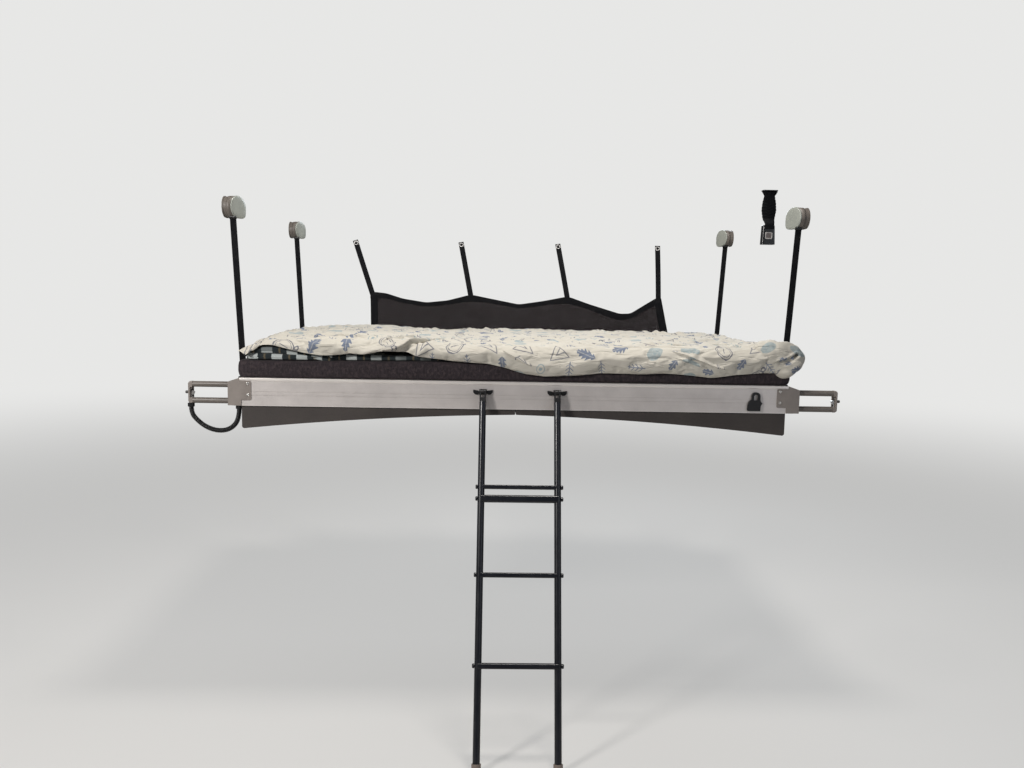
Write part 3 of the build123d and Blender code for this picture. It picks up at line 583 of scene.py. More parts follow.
nodeFinishes = {
    "rail": ("rail_rear", "rail_front"),
    "sideRail": ("rail_left", "rail_right"),
    "bracket": ("corner_bracket", "arm_end", "net_batten"),
    "rod": ("arm_rods",),
    "bumper": ("arm_bumpers",),
    "anchorBase": ("anchor_base",),
    "blackPlastic": (
        "belt_guide", "lock_plate", "lock_tongue", "ladder_receiver", "ladder_hook", "conduit_glands",
    ),
    "glossPlastic": ("lock_buckle",),
    "soffit": ("soffit",),
    "plywood": ("deck_board",),
    "steel": ("net_studs",),
    "ladder": ("ladder_stile", "ladder_rung"),
    "footRubber": ("ladder_foot",),
}
for nodeName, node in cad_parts.items():
    for finish, starts in nodeFinishes.items():
        if nodeName.startswith(starts):
            for materialSlot in node.material_slots:
                materialSlot.material = finishes[finish]
print("frame dressed")


# Conduit: corrugated tube that hangs in a loop beside the left end

conduit = {
    "route": (
        (-1.052, -0.640, -0.762), (-1.052, -0.640, -0.808), (-1.083, -0.640, -0.848),
        (-1.132, -0.640, -0.857), (-1.180, -0.640, -0.841), (-1.215, -0.640, -0.812),
        (-1.233, -0.640, -0.786), (-1.233, -0.640, -0.756),
    ),
    "radius": 0.0096,
    "ribHeight": 0.0011,
    "ribPitch": 0.0042,
    "rowsPerRib": 6,
    "sides": 24,
}


def splinePoints(route):
    # a smooth curve with the route's points as its control points, read back as points
    curve = bpy.data.curves.new("route", "CURVE")
    curve.dimensions = "3D"
    spline = curve.splines.new("NURBS")
    spline.points.add(len(route) - 1)
    for point, place in zip(spline.points, route):
        point.co = (*place, 1)
    spline.order_u = 3
    spline.use_endpoint_u = True
    spline.resolution_u = 24
    holder = bpy.data.objects.new("route", curve)
    bpy.context.collection.objects.link(holder)
    mesh = bpy.data.meshes.new_from_object(holder)
    points = np.zeros(len(mesh.vertices) * 3)
    mesh.vertices.foreach_get("co", points)
    bpy.data.objects.remove(holder)
    bpy.data.meshes.remove(mesh)
    return points.reshape(-1, 3)


def evenly(points, step):
    # points at equal distances along a line of points
    away = np.concatenate(([0], np.cumsum(np.linalg.norm(np.diff(points, axis=0), axis=1))))
    count = max(8, int(round(away[-1] / step)))
    marks = np.linspace(0, away[-1], count)
    return np.stack([np.interp(marks, away, points[:, k]) for k in range(3)], axis=-1), marks


def makeConduit():
    # the tube's radius rises and falls with a sine along its length, so it has round ribs
    path, marks = evenly(splinePoints(conduit["route"]), conduit["ribPitch"] / conduit["rowsPerRib"])
    ribs = conduit["ribHeight"] * (np.sin(marks * fullTurn / conduit["ribPitch"]) - 1)
    section = strapProfile(2.0, 2.0, conduit["sides"], 1.0) * (conduit["radius"] + ribs)[:, None, None]
    piece = makePiece("conduit_ribbed", [strand(path, (0, 1, 0), section)])
    dress(piece, "blackPlastic", "conduit_plastic", "bunk", "conduit")


makeConduit()
print("conduit made")


# Camera and studio

view = {
    "place": (-0.0863, -3.7549, -0.3479),
    "yaw": 1.316,
    "pitch": 5.703,
    "roll": 1.016,
    "lens": 28.78,
    "sensor": 36.0,
}


def addCamera():
    # the camera looks along +Y, turned by yaw, dropped by pitch, and rolled about its own line of sight
    yaw, pitch, roll = (math.radians(view[key]) for key in ("yaw", "pitch", "roll"))
    data = bpy.data.cameras.new("photo view")
    data.lens = view["lens"]
    data.sensor_width = view["sensor"]
    data.sensor_fit = "HORIZONTAL"
    camera = bpy.data.objects.new("photo view", data)
    turns = ((-yaw, "Z"), (math.pi / 2 - pitch, "X"), (roll, "Z"))
    camera.matrix_world = Matrix.Translation(view["place"])
    for angle, axis in turns:
        camera.matrix_world = camera.matrix_world @ Matrix.Rotation(angle, 4, axis)
    bpy.context.collection.objects.link(camera)
    bpy.context.scene.camera = camera


studio = {
    "floorHeight": cadBox[0][2],
    "floorReach": 40.0,
    "floorGap": 0.0005,
    "floorColor": (0.62, 0.61, 0.59),
    "backColor": (0.80, 0.80, 0.79),
    "worldColor": (0.80, 0.80, 0.82),
    "worldStrength": 0.185,
    "floorGlow": (0.5, 14.0, 0.46, 1.0),
    "lamps": (
        ("ceiling", (0.3, -0.9, 1.9), 0.6, 63.0, (1.0, 0.96, 0.91)),
        ("key", (-2.7, -3.0, 0.8), 0.6, 101.0, (1.0, 0.97, 0.94)),
        ("fill", (3.0, -3.6, 0.2), 2.2, 17.0, (0.86, 0.91, 1.0)),
        ("windscreen", (1.2, 2.8, 1.5), 2.0, 62.0, (0.86, 0.93, 1.0)),
    ),
    "target": (0.0, -0.1, -0.6),
}


def shownPale(nodes, under, pale, share, target):
    # the under shader, with the pale one in its place for rays from the camera or through clear pieces
    path = nodes.node("ShaderNodeLightPath", {})
    seen = Value(nodes, path["Is Camera Ray"]).larger(path["Is Transmission Ray"])
    blend = nodes.node("ShaderNodeMixShader", {0: seen * share, 1: under, 2: pale})
    plug(nodes.tree, blend[0], target.inputs["Surface"])


def floorFinish():
    # pale matt floor that keeps shadows near the bunk and glows up to the backdrop's tone farther away
    f = Finish("pale floor", studio["floorColor"], 0.9)
    start, end, low, high = studio["floorGlow"]
    away = f.node("ShaderNodeVectorMath", {0: f.place}, operation="LENGTH")["Value"]
    inputs = {"Value": away, "From Min": start, "From Max": end, "To Min": low, "To Max": high}
    share = f.node("ShaderNodeMapRange", inputs, interpolation_type="SMOOTHERSTEP")["Result"]
    glow = f.node("ShaderNodeEmission", {"Color": (*studio["backColor"], 1)})[0]
    shownPale(f, f.shader.outputs[0], glow, share, f.tree.nodes["Material Output"])
    return f.material


def addStudio():
    # soft area lamps aimed at the bunk, a pale floor, and a world that shows pale to the camera only
    for name, place, size, power, color in studio["lamps"]:
        data = bpy.data.lights.new(name, "AREA")
        data.shape, data.size, data.energy, data.color = "DISK", size, power, color
        lamp = bpy.data.objects.new(name, data)
        aim = Vector(studio["target"]) - Vector(place)
        lamp.matrix_world = Matrix.Translation(place) @ aim.to_track_quat("-Z", "Y").to_matrix().to_4x4()
        bpy.context.collection.objects.link(lamp)
    world = bpy.data.worlds.new("studio")
    world.use_nodes = True
    nodes = Nodes(world.node_tree)
    lit = world.node_tree.nodes["Background"]
    lit.inputs["Color"].default_value = (*studio["worldColor"], 1)
    lit.inputs["Strength"].default_value = studio["worldStrength"]
    pale = nodes.node("ShaderNodeBackground", {"Color": (*studio["backColor"], 1)})[0]
    shownPale(nodes, lit.outputs[0], pale, 1.0, world.node_tree.nodes["World Output"])
    bpy.context.scene.world = world
    reach, height = studio["floorReach"], studio["floorHeight"] - studio["floorGap"]
    corners = np.array([[(x, y, height) for x in (-reach, reach)] for y in (-reach, reach)])
    floor = makePiece("floor", [(corners, False, False)], smooth=False)
    floor.data.materials.append(floorFinish())
    bpy.context.scene.view_settings.view_transform = "Standard"


addCamera()
addStudio()
print("camera and studio made")


# Mattress

mattress = {
    "halfX": 1.053,
    "halfY": 0.655,
    "bottom": -0.649,
    "top": -0.571,
    "corner": 0.034,
    "edge": 0.013,
    "bulge": 0.004,
    "rows": 14,
    "around": 560,
    "leftSink": 0.010,
}


def padProfile(pad, topRows=26):
    # from the middle of the top out to the edge, round it, down the bulging side, round the lower edge and
    # back in
    edge, low, high = pad["edge"], pad["bottom"], pad["top"]
    out = edge + np.linspace(1, 0, topRows)[:-1] * (pad["halfY"] - edge)
    turn = np.linspace(0, math.pi / 2, 7)
    side = np.linspace(high - edge, low + edge, pad["rows"])[1:-1]
    inset = np.concatenate((out, edge * (1 - np.sin(turn)), 0 * side, edge * (1 - np.cos(turn)), out[::-1]))
    upper, lower = high - edge * (1 - np.cos(turn)), low + edge * (1 - np.sin(turn))
    height = np.concatenate((0 * out + high, upper, side, lower, 0 * out + low))
    swell = np.clip((height - low) * (high - height) / ((high - low) / 2) ** 2, 0, 1)
    return np.stack((inset - pad["bulge"] * swell * (inset < edge), height), axis=-1)


def makeMattress():
    # a rounded pad whose sides swell and ripple a little and whose top sinks towards its left end
    halfX, halfY, low, high = (mattress[key] for key in ("halfX", "halfY", "bottom", "top"))
    grid = padGrid(halfX, halfY, mattress["corner"], padProfile(mattress), mattress["around"])
    x, y, z = np.moveaxis(grid, -1, 0)
    height = (z - low) / (high - low)
    side = smoothStep(np.maximum(np.abs(x) - halfX, np.abs(y) - halfY), -0.03, -0.002)
    ripple = 0.0022 * waves(x, y, 9, 11, 0.10, 0.55) + 0.0012 * waves(x + z, y + z * 2, 8, 12, 0.05, 0.14)
    sink = mattress["leftSink"] * smoothStep(-x, -0.1, 0.9) * np.clip(height, 0, 1)
    grid[..., 0] += side * np.sign(x) * ripple * (np.abs(x) > halfX - 0.03)
    grid[..., 1] += side * np.sign(y) * ripple * (np.abs(y) > halfY - 0.03)
    grid[..., 2] += np.where(height > 0.5, 0.0016 * waves(x, y, 10, 13, 0.2, 0.7) - 0.001, 0) - sink
    piece = makePiece("mattress_pad", [(grid, False, True)])
    dress(piece, "mattress", "mattress_cover", "bunk", "mattress")


makeMattress()
print("mattress made")


# Blanket: a folded plaid fleece between mattress and sheet, with a second fold lying on it at the left

blanket = {
    "halfX": 1.030,
    "halfY": 0.650,
    "bottom": -0.5705,
    "thickness": 0.024,
    "corner": 0.040,
    "edge": 0.010,
    "around": 520,
    "checkShift": 0.0,
}
upperFold = {
    "middle": (-0.850, -0.440),
    "halfX": 0.165,
    "halfY": 0.208,
    "bottom": -0.556,
    "thickness": 0.026,
    "corner": 0.030,
    "edge": 0.011,
    "around": 300,
    "slope": 0.16,
    "checkShift": 0.037,
}


def fleecePad(pad, seed):
    # a soft pad with a fold line along its side; the map runs along x and down the side
    profile = padProfile({**pad, "top": pad["bottom"] + pad["thickness"], "bulge": 0.003, "rows": 16})
    grid = padGrid(pad["halfX"], pad["halfY"], pad["corner"], profile, pad["around"])
    away = np.concatenate(([0], np.cumsum(np.linalg.norm(np.diff(profile, axis=0), axis=1))))
    x, y, z = np.moveaxis(grid.copy(), -1, 0)
    share = (z - pad["bottom"]) / pad["thickness"]
    edge = smoothStep(np.maximum(np.abs(x) - pad["halfX"], np.abs(y) - pad["halfY"]), -0.05, -0.004)
    groove = bell(share, 0.30, 0.07) + 0.5 * bell(share, 0.72, 0.06)
    outline = edge * (0.004 * waves(x, y, 10, seed, 0.06, 0.4) - 0.004 * groove * edge)
    grid[..., 1] += np.sign(y) * outline * (np.abs(y) > pad["halfY"] - 0.05)
    grid[..., 0] += np.sign(x) * outline * (np.abs(x) > pad["halfX"] - 0.05)
    sideMiddle = np.interp(pad["bottom"] + pad["thickness"] / 2, profile[::-1, 1], away[::-1])
    uv = np.stack((x + pad["checkShift"], np.where(edge > 0.01, away[:, None] - sideMiddle, y)), axis=-1)
    return grid, x, share, uv


def makeBlanket():
    # the lower layer is thickest at the left and thins towards the right; the upper fold leans down to the
    # right
    lower, x, share, lowerUv = fleecePad(blanket, 21)
    thin = smoothStep(x, -0.75, -0.15)
    lower[..., 2] += share * (0.0025 * waves(x, lower[..., 1], 12, 22, 0.07, 0.4) - 0.011 * thin)
    lower[..., 2] -= 0.0095 * smoothStep(-x, -0.1, 0.9)
    upper, x, share, upperUv = fleecePad(upperFold, 23)
    upper[..., :2] += upperFold["middle"]
    upper[..., 2] += 0.002 * waves(x, upper[..., 1], 8, 24, 0.06, 0.3) * share
    upper[..., 2] -= upperFold["slope"] * np.maximum(x + 0.05, 0)
    upperUv[..., 0] += upperFold["middle"][0]
    piece = makePiece("blanket_plaid", [(lower, False, True), (upper, False, True)], uvs=[lowerUv, upperUv])
    dress(piece, "plaid", "blanket_plaid", "bunk", "blanket")


makeBlanket()
print("blanket made")


# Top sheet: printed cotton laid over the bed, hanging over the rear edge, with a diagonal fold at the left

sheet = {
    "left": -1.052,
    "right": 1.050,
    "far": 0.640,
    "fold": -0.668,
    "foldRadius": 0.030,
    "level": -0.513,
    "farRise": 0.014,
    "rest": -0.5525,
    "columns": 444,
    "rows": 222,
    "topShare": 0.62,
    "hemSoftness": 0.009,
    "hem": (
        (-1.056, -0.540), (-1.040, -0.548), (-1.015, -0.566), (-0.992, -0.543), (-0.962, -0.525),
        (-0.921, -0.524), (-0.843, -0.541), (-0.780, -0.553), (-0.731, -0.558), (-0.667, -0.555),
        (-0.632, -0.550), (-0.570, -0.547), (-0.535, -0.541), (-0.503, -0.536), (-0.480, -0.541),
        (-0.413, -0.541), (-0.376, -0.556), (-0.290, -0.566), (-0.232, -0.573), (-0.109, -0.580),
        (-0.043, -0.594), (0.028, -0.616), (0.109, -0.626), (0.257, -0.618), (0.314, -0.609),
        (0.470, -0.611), (0.557, -0.607), (0.638, -0.611), (0.745, -0.621), (0.833, -0.608),
        (0.932, -0.601), (0.978, -0.600), (1.060, -0.600),
    ),
    "mounds": (
        (-0.76, -0.28, 0.26, 0.22, 0.022), (-0.66, 0.34, 0.24, 0.24, 0.020),
        (-0.35, 0.42, 0.20, 0.25, -0.006), (0.25, 0.30, 0.45, 0.30, 0.004),
        (0.99, -0.56, 0.090, 0.13, 0.016), (-0.94, -0.40, 0.06, 0.20, 0.013),
    ),
    "foldLine": (
        (-0.640, 1.350), (-0.568, 1.326), (-0.500, 1.322), (-0.464, 1.317), (-0.430, 1.308), (-0.398, 1.286),
        (-0.373, 1.235), (-0.347, 1.148), (-0.322, 1.041), (-0.290, 0.921), (-0.255, 0.700), (-0.240, 0.400),
        (-0.262, 0.150), (-0.280, -0.050),
    ),
    "rollShape": (2.0, 0.7, 0.75),
    "creaseShape": (1.0, 1.2, 0.4),
    "clothLength": 1.335,
    "tucks": (
        (0.018, 0.024, ((-0.640, 0.992), (-0.568, 0.990), (-0.500, 0.989), (-0.464, 0.986), (-0.430, 0.980),
                        (-0.398, 0.962), (-0.373, 0.920), (-0.347, 0.855), (-0.320, 0.770), (-0.286, 0.670))),
        (0.015, 0.013, ((-0.510, 0.980), (-0.480, 0.962), (-0.458, 0.935), (-0.435, 0.905), (-0.411, 0.880),
                        (-0.380, 0.850))),
        (0.009, 0.007, ((-0.996, 0.999), (-0.972, 0.996), (-0.956, 0.980), (-0.948, 0.940), (-0.940, 0.880))),
        (0.013, 0.012, ((0.575, 0.928), (0.613, 0.934), (0.651, 0.941), (0.694, 0.948), (0.732, 0.957),
                        (0.761, 0.966), (0.800, 0.979))),
        (0.010, 0.008, ((0.590, 0.945), (0.640, 0.954), (0.689, 0.963), (0.735, 0.972))),
        (0.012, 0.010, ((-0.055, 0.948), (-0.013, 0.953), (0.020, 0.957), (0.066, 0.967))),
        (0.013, 0.006, ((-0.830, 0.966), (-0.767, 0.970), (-0.720, 0.972), (-0.660, 0.975))),
        (0.013, 0.008, ((-0.760, 0.800), (-0.668, 0.851), (-0.596, 0.895), (-0.515, 0.938))),
        (0.012, 0.007, ((-0.880, 0.900), (-0.800, 0.880), (-0.720, 0.892), (-0.650, 0.915))),
        (0.012, 0.007, ((0.000, 0.840), (0.150, 0.852), (0.300, 0.846), (0.440, 0.862))),
        (0.012, 0.007, ((0.250, 0.902), (0.400, 0.906), (0.560, 0.900), (0.720, 0.908))),
        (0.012, 0.008, ((0.430, 0.795), (0.600, 0.812), (0.760, 0.808), (0.900, 0.830))),
        (0.012, 0.006, ((-0.230, 0.905), (-0.080, 0.897), (0.120, 0.907))),
    ),
    "growth": 0.028,
    "simColumns": 170,
    "simRows": 112,
    "frames": 34,
    "cap": 0.018,
}


def sheetLevel(x, y):
    # the bedding under the cloth: a level that rises to the far side, with broad mounds, and falls at its
    # ends
    height = sheet["level"] + sheet["farRise"] * smoothStep(y, -0.60, 0.40)
    for middleX, middleY, wide, deep, rise in sheet["mounds"]:
        height = height + rise * bell(x, middleX, wide) * bell(y, middleY, deep)
    leftEnd = smoothStep(-x, 0.90, 1.056)
    height = height - leftEnd * (0.010 + 0.022 * smoothStep(-y, -0.1, 0.66))
    ends = np.maximum(smoothStep(-x, 1.000, 1.054), smoothStep(x, 0.990, 1.050) * smoothStep(y, -0.60, -0.45))
    ends = np.maximum(ends, smoothStep(y, 0.580, 0.638))
    return height + (sheet["rest"] - height) * ends ** 1.3


def sheetRows(rows, topShare=None):
    # shares of a column's length: crowded a little to the front, or with topShare of the rows on its first
    # 0.87
    t = np.linspace(0, 1, rows)
    return t ** 0.92 if topShare is None else np.interp(t, (0, topShare, 1), (0, 0.87, 1))


def sheetBase(columns, shares):
    # each column runs by length: over the bed to the fold, a quarter turn, then down the front to the
    # puffed out hem
    u = np.linspace(sheet["left"], sheet["right"], columns)
    radius = sheet["foldRadius"]
    edge = sheet["fold"] + radius
    flat, arc = sheet["far"] - edge, math.pi / 2 * radius
    hem = smoothLine(sheet["hem"], u, sheet["hemSoftness"])
    drop = np.maximum(sheetLevel(u, edge) - radius - hem, -arc * 0.8)
    s = shares[:, None] * (flat + arc + drop)[None]
    angle = np.clip(s - flat, 0, arc) / radius
    y = sheet["far"] - np.minimum(s, flat) - radius * np.sin(angle)
    down = radius * (1 - np.cos(angle)) + np.maximum(s - flat - arc, 0)
    z = sheetLevel(u[None], np.maximum(y, edge)) - down
    below = np.clip((s - flat) / (arc + np.maximum(drop, 0.001)), 0, 1)
    y = y - 0.010 * np.sin(math.pi * below) * smoothStep(drop, 0.0, 0.06)
    x = np.broadcast_to(u, s.shape)
    return np.stack((x, y, z), axis=-1), x, s


def simulateWrinkles():
    # the cloth, a few percent too large for its place, is held at its edges and crumples under gravity on
    # the bedding
    columns, rows = sheet["simColumns"], sheet["simRows"]
    base, u, s = sheetBase(columns, sheetRows(rows))
    normals = surfaceNormals(base)
    bed = makePiece("bedding under cloth", [(base - normals * 0.004, False, False)], closed=False)
    bed.modifiers.new("collision", "COLLISION")
    bed.collision.thickness_outer = 0.0015
    bed.collision.cloth_friction = 1.0
    start = base + normals * (0.001 + 0.0025 * waves(u, s, 24, 34, 0.05, 0.30))[..., None]
    cloth = makePiece("cloth in work", [(start, False, False)], closed=False)
    held = np.ones((rows, columns), bool)
    held[1:-1, 1:-1] = False
    cloth.vertex_groups.new(name="held").add(np.flatnonzero(held).tolist(), 1.0, "REPLACE")
    work = cloth.modifiers.new("cloth", "CLOTH")
    settings = work.settings
    settings.quality = 5
    settings.mass = 0.1
    settings.tension_stiffness = settings.compression_stiffness = 60.0
    settings.shear_stiffness = 5.0
    settings.bending_stiffness = 2.0
    settings.air_damping = 1.0
    settings.shrink_min = -sheet["growth"]
    settings.vertex_group_mass = "held"
    work.collision_settings.distance_min = 0.0015
    work.collision_settings.use_self_collision = False
    work.point_cache.frame_start, work.point_cache.frame_end = 1, sheet["frames"]
    for number in range(1, sheet["frames"] + 1):
        bpy.context.scene.frame_set(number)
    settled = cloth.evaluated_get(bpy.context.evaluated_depsgraph_get())
    points = np.zeros(rows * columns * 3)
    settled.data.vertices.foreach_get("co", points)
    moved = points.reshape(rows, columns, 3) - base
    bpy.context.scene.frame_set(1)
    for piece in (cloth, bed):
        bpy.data.objects.remove(piece)
    length = np.linalg.norm(moved, axis=-1, keepdims=True)
    average, most = (length.mean() * 1000).round(1), (length.max() * 1000).round(1)
    print("crumples", average, "mm on average, at most", most, "mm")
    return moved * sheet["cap"] * np.tanh(length / sheet["cap"]) / np.maximum(length, 1e-6)


def foldLift(u, s):
    # beside the fold line the cloth lies on itself: higher on the right, with a groove and a long slope on
    # the left
    line = refined(sheet["foldLine"], 160)
    rightOf = u > np.interp(-s, -line[:, 1], line[:, 0])
    away = distanceTo(line, u, s) * np.where(rightOf, 1, -1)
    fade = 0.45 + 0.55 * smoothStep(s, 0.5, 1.1)
    ridge = 0.006 * smoothStep(away, 0.0, 0.010) * np.exp(-np.maximum(away, 0) / 0.12)
    second = 0.007 * np.exp(-np.abs(away - 0.056) / 0.012) - 0.006 * bell(away, 0.038, 0.008)
    slope = 0.020 * smoothStep(-away, 0.006, 0.060) * np.exp(-np.maximum(-away, 0) / 0.20)
    slope = slope * smoothStep(s, 0.40, 0.90) * (1 - 0.5 * smoothStep(s, 1.27, 1.33))
    return fade * (ridge + second - 0.011 * bell(away, 0.016, 0.009)) + slope


def makeTucks(cloth, shares):
    # pinched and rolled folds: a section of height times (1 - across to a power) to a power, leaning to the
    # near side,
    # is carried along paths on the cloth
    normals = surfaceNormals(cloth)
    window = np.hanning(9) / np.hanning(9).sum()
    half = np.linspace(-1, 1, 17)
    grids, uvs = [], []
    for number, (wide, tall, path) in enumerate(sheet["tucks"]):
        power, sharp, lean = sheet["creaseShape"] if number else sheet["rollShape"]
        x = np.linspace(path[0][0], path[-1][0], 70)
        share = smoothLine(path, x, 0.012)
        row = np.interp(share, shares, np.arange(len(shares)))
        column = (x - sheet["left"]) / (sheet["right"] - sheet["left"]) * (cloth.shape[1] - 1)
        middle, normal = spotsOn(cloth, row, column), spotsOn(normals, row, column)
        for line in (middle, normal):
            for axis in range(3):
                line[:, axis] = np.convolve(np.pad(line[:, axis], 4, mode="edge"), window, mode="valid")
        end = np.sin(math.pi * np.linspace(0, 1, 70)) ** 0.6
        swell = end * (1 + 0.22 * waves(x, share, 5, 70 + number, 0.05, 0.16))
        rise = 1 - np.abs(half) ** power
        top = np.stack(((half - lean * rise) * wide, tall * rise ** sharp - 0.001), axis=-1)
        under = np.stack((half[-2:0:-3] * wide * 0.8, np.full(5, -0.006)), axis=-1)
        section = np.concatenate((top, under))[None] * np.stack((0.35 + 0.65 * end, swell), axis=-1)[:, None]
        section[..., 1] -= 0.003 * (1 - end)[:, None]
        tube = strand(middle, np.cross(normal, np.gradient(middle, axis=0)), section)
        away = tube[0] - np.concatenate((middle[:1], middle, middle[-1:]))[:, None]
        s = np.concatenate((share[:1], share, share[-1:])) * sheet["clothLength"]
        grids.append(tube)
        uvs.append(np.stack((tube[0][..., 0], s[:, None] - away[..., 1] - away[..., 2]), axis=-1))
    piece = dress(makePiece("top_sheet_tucks", grids, uvs=uvs), "print", "sheet_print", "bunk", "top_sheet")


def crossLift(u, s):
    # small sharp-crested folds that run across the bed, where a slow wave passes zero; they fade out on the
    # front
    wave = waves(u * 0.35, s, 14, 36, 0.06, 0.16, turn=0.6, lean=math.pi / 2)
    crest = np.clip(1 - np.abs(wave) * 2.0, 0, 1) ** 1.5
    patch = smoothStep(waves(u, s, 8, 37, 0.3, 0.8), -0.6, 0.5)
    fade = (1 - 0.80 * smoothStep(s, 1.16, 1.30)) * smoothStep(s, 0.0, 0.1)
    return 0.0125 * crest * (0.35 + 0.65 * patch) * fade


def makeSheet():
    # the base surface, plus the simulated crumples, plus the fold and the small crests along the surface's
    # normals
    columns, shares = sheet["columns"], sheetRows(sheet["rows"], sheet["topShare"])
    base, u, s = sheetBase(columns, shares)
    cloth = base
    crumples = simulateWrinkles()
    rows = np.interp(shares, sheetRows(len(crumples)), np.arange(len(crumples)))
    cloth = base + spotsOn(crumples, rows[:, None], np.linspace(0, crumples.shape[1] - 1, columns)[None])
    cloth = cloth + surfaceNormals(base) * (foldLift(u, s) + crossLift(u, s))[..., None]
    piece = makePiece("top_sheet_print", [(cloth, False, False)], uvs=[np.stack((u, s), axis=-1)], closed=False)
    dress(piece, "print", "sheet_print", "bunk", "top_sheet")
    makeTucks(cloth, shares)


makeSheet()
print("sheet made")


# Bundle: the sheet's right corner, rolled up on itself

bundle = {
    "middle": (1.025, -0.640, -0.548),
    "lobes": (
        ((1.006, -0.634, -0.530), (0.098, 0.056, 0.052), -10.0, 2.5),
        ((1.034, -0.654, -0.576), (0.058, 0.040, 0.034), 24.0, 2.2),
    ),
    "crease": (
        (0.955, -0.598), (0.974, -0.576), (0.992, -0.562), (1.022, -0.555), (1.044, -0.541), (1.064, -0.528),
    ),
    "creaseWidth": 0.0055,
    "creaseDepth": 0.020,
    "foldCentre": (0.962, -0.590),
    "around": 170,
    "rings": 120,
    "reach": 0.16,
}


def bundleDepth(points):
    # below zero inside the softly joined lobes, each a rounded block whose three shares are raised to its
    # power
    depth = 0
    for centre, half, lean, power in bundle["lobes"]:
        tilt = math.radians(lean)
        axes = np.array(((math.cos(tilt), 0, math.sin(tilt)), (0, 1, 0), (-math.sin(tilt), 0, math.cos(tilt))))
        share = np.abs((points - centre) @ axes.T / half)
        depth = depth + np.exp(-26.0 * (np.sum(share ** power, axis=-1) ** (1 / power) - 1))
    return -np.log(depth) / 26.0


def makeBundle():
    # rays from a middle point are followed to the lobes' skin by halving; folds fan out from the crease,
    # pressed in
    turn = np.linspace(0, fullTurn, bundle["around"], endpoint=False)[None, :]
    rise = np.linspace(0, math.pi, bundle["rings"])[:, None]
    ray = np.stack((np.sin(rise) * np.cos(turn), np.cos(rise) + 0 * turn, np.sin(rise) * np.sin(turn)), axis=-1)
    middle = np.array(bundle["middle"])
    low, high = np.zeros(ray.shape[:2]), np.full(ray.shape[:2], bundle["reach"])
    for _ in range(24):
        half = (low + high) / 2
        inside = bundleDepth(middle + ray * half[..., None]) < 0
        low, high = np.where(inside, half, low), np.where(inside, high, half)
    points = middle + ray * low[..., None]
    x, y, z = np.moveaxis(points, -1, 0)
    overX, overZ = x - bundle["foldCentre"][0], z - bundle["foldCentre"][1]
    fan = np.sin(np.arctan2(overZ, overX) * 5 + 1.5 * waves(x, z + y, 6, 60, 0.08, 0.20))
    folds = 0.0035 * np.abs(fan) * smoothStep(np.hypot(overX, overZ), 0.02, 0.08)
    folds = folds + 0.0035 * waves(x - 0.6 * z, z + y * 0.7, 12, 61, 0.05, 0.14)
    points = points + ray * (folds - 0.002)[..., None]
    gaps = distanceTo(refined(bundle["crease"], 80), x, z)
    pressed = bundle["creaseDepth"] * bell(gaps, 0, bundle["creaseWidth"]) - 0.004 * bell(gaps, 0.013, 0.006)
    points[..., 1] += pressed * smoothStep(middle[1] - y, 0.0, 0.02)
    uv = np.stack((x * 1.1 + 0.35 * y + 3.17, 1.2 * z + 0.8 * y + 2.05), axis=-1)
    piece = makePiece("top_sheet_bundle", [(points, False, True)], uvs=[uv])
    dress(piece, "print", "sheet_print", "bunk", "top_sheet")


makeBundle()
print("bundle made")


# Anchor covers: pale shells tilted on grey housings, each with a black mouth where its belt comes out

anchor = {
    "y": 0.512,
    "baseX": 1.117,
    "radius": 0.043,
    "tilt": 0.42,
    "shell": (
        (0.0, 0.0358), (0.0150, 0.0357), (0.0300, 0.0350), (0.0385, 0.0340), (0.0402, 0.0325),
        (0.0404, 0.0285), (0.0430, 0.0285), (0.0430, 0.0328), (0.0426, 0.0346), (0.0414, 0.0358),
        (0.0392, 0.0364), (0.0300, 0.0373), (0.0150, 0.0378), (0.0, 0.0379),
    ),
    "housing": ((0.0390, -0.0010), (0.0408, -0.0010), (0.0418, 0.0060), (0.0418, 0.0292), (0.0390, 0.0292)),
    "corner": 4.5,
    "sides": 72,
    "mouth": (0.0135, 0.0062, 0.0028),
    "mouthX": 1.1000,
    "mouthY": 0.0153,
    "mouthLevels": (-0.0330, -0.0465),
}


def anchorRings(profile, sign, y):
    # rings round the anchor's axis, nearly square in the front lower quarter by a superellipse, deeper to
    # the front
    angle = np.linspace(0, 2 * math.pi, anchor["sides"], endpoint=False)
    forward, up = np.cos(angle), np.sin(angle)
    power = anchor["corner"]
    square = (np.abs(forward) ** power + np.abs(up) ** power) ** (-1 / power)
    reach = np.where((forward > 0) & (up < 0), square, 1.0)
    radius, out = np.array(profile).T[:, :, None]
    depth = out * (1 + anchor["tilt"] * radius * reach * forward / anchor["radius"])
    x = sign * (anchor["baseX"] - depth)
    return np.stack((x, y + radius * reach * forward, radius * reach * up), axis=-1)


def makeAnchor(end, way, side, sign):
    # the shell's profile runs from its inner pole to the rim and back to its outer pole; the mouth is a
    # rounded tube
    y = way * anchor["y"]
    shell = makePiece(f"anchor_shell_{end}_{side}", [(anchorRings(anchor["shell"], sign, y), False, True)])
    dress(shell, "anchorCover", "anchor_cover_plastic", "vehicle_side", f"anchor_cover_{end}_{side}")
    housing = makePiece(f"anchor_housing_{end}_{side}", [(anchorRings(anchor["housing"], sign, y), True, True)])
    dress(housing, "anchorBase", "anchor_base_plastic", "vehicle_side")
    across, deep = roundedLoop(*anchor["mouth"], 40)
    x, y = sign * anchor["mouthX"] + across, y - anchor["mouthY"] + deep
    rings = [np.stack((x, y, np.full(40, level)), axis=-1) for level in anchor["mouthLevels"]]
    mouth = makePiece(f"anchor_mouth_{end}_{side}", [(capped(np.array(rings)), False, True)])
    dress(mouth, "blackPlastic", "black_plastic", "vehicle_side")


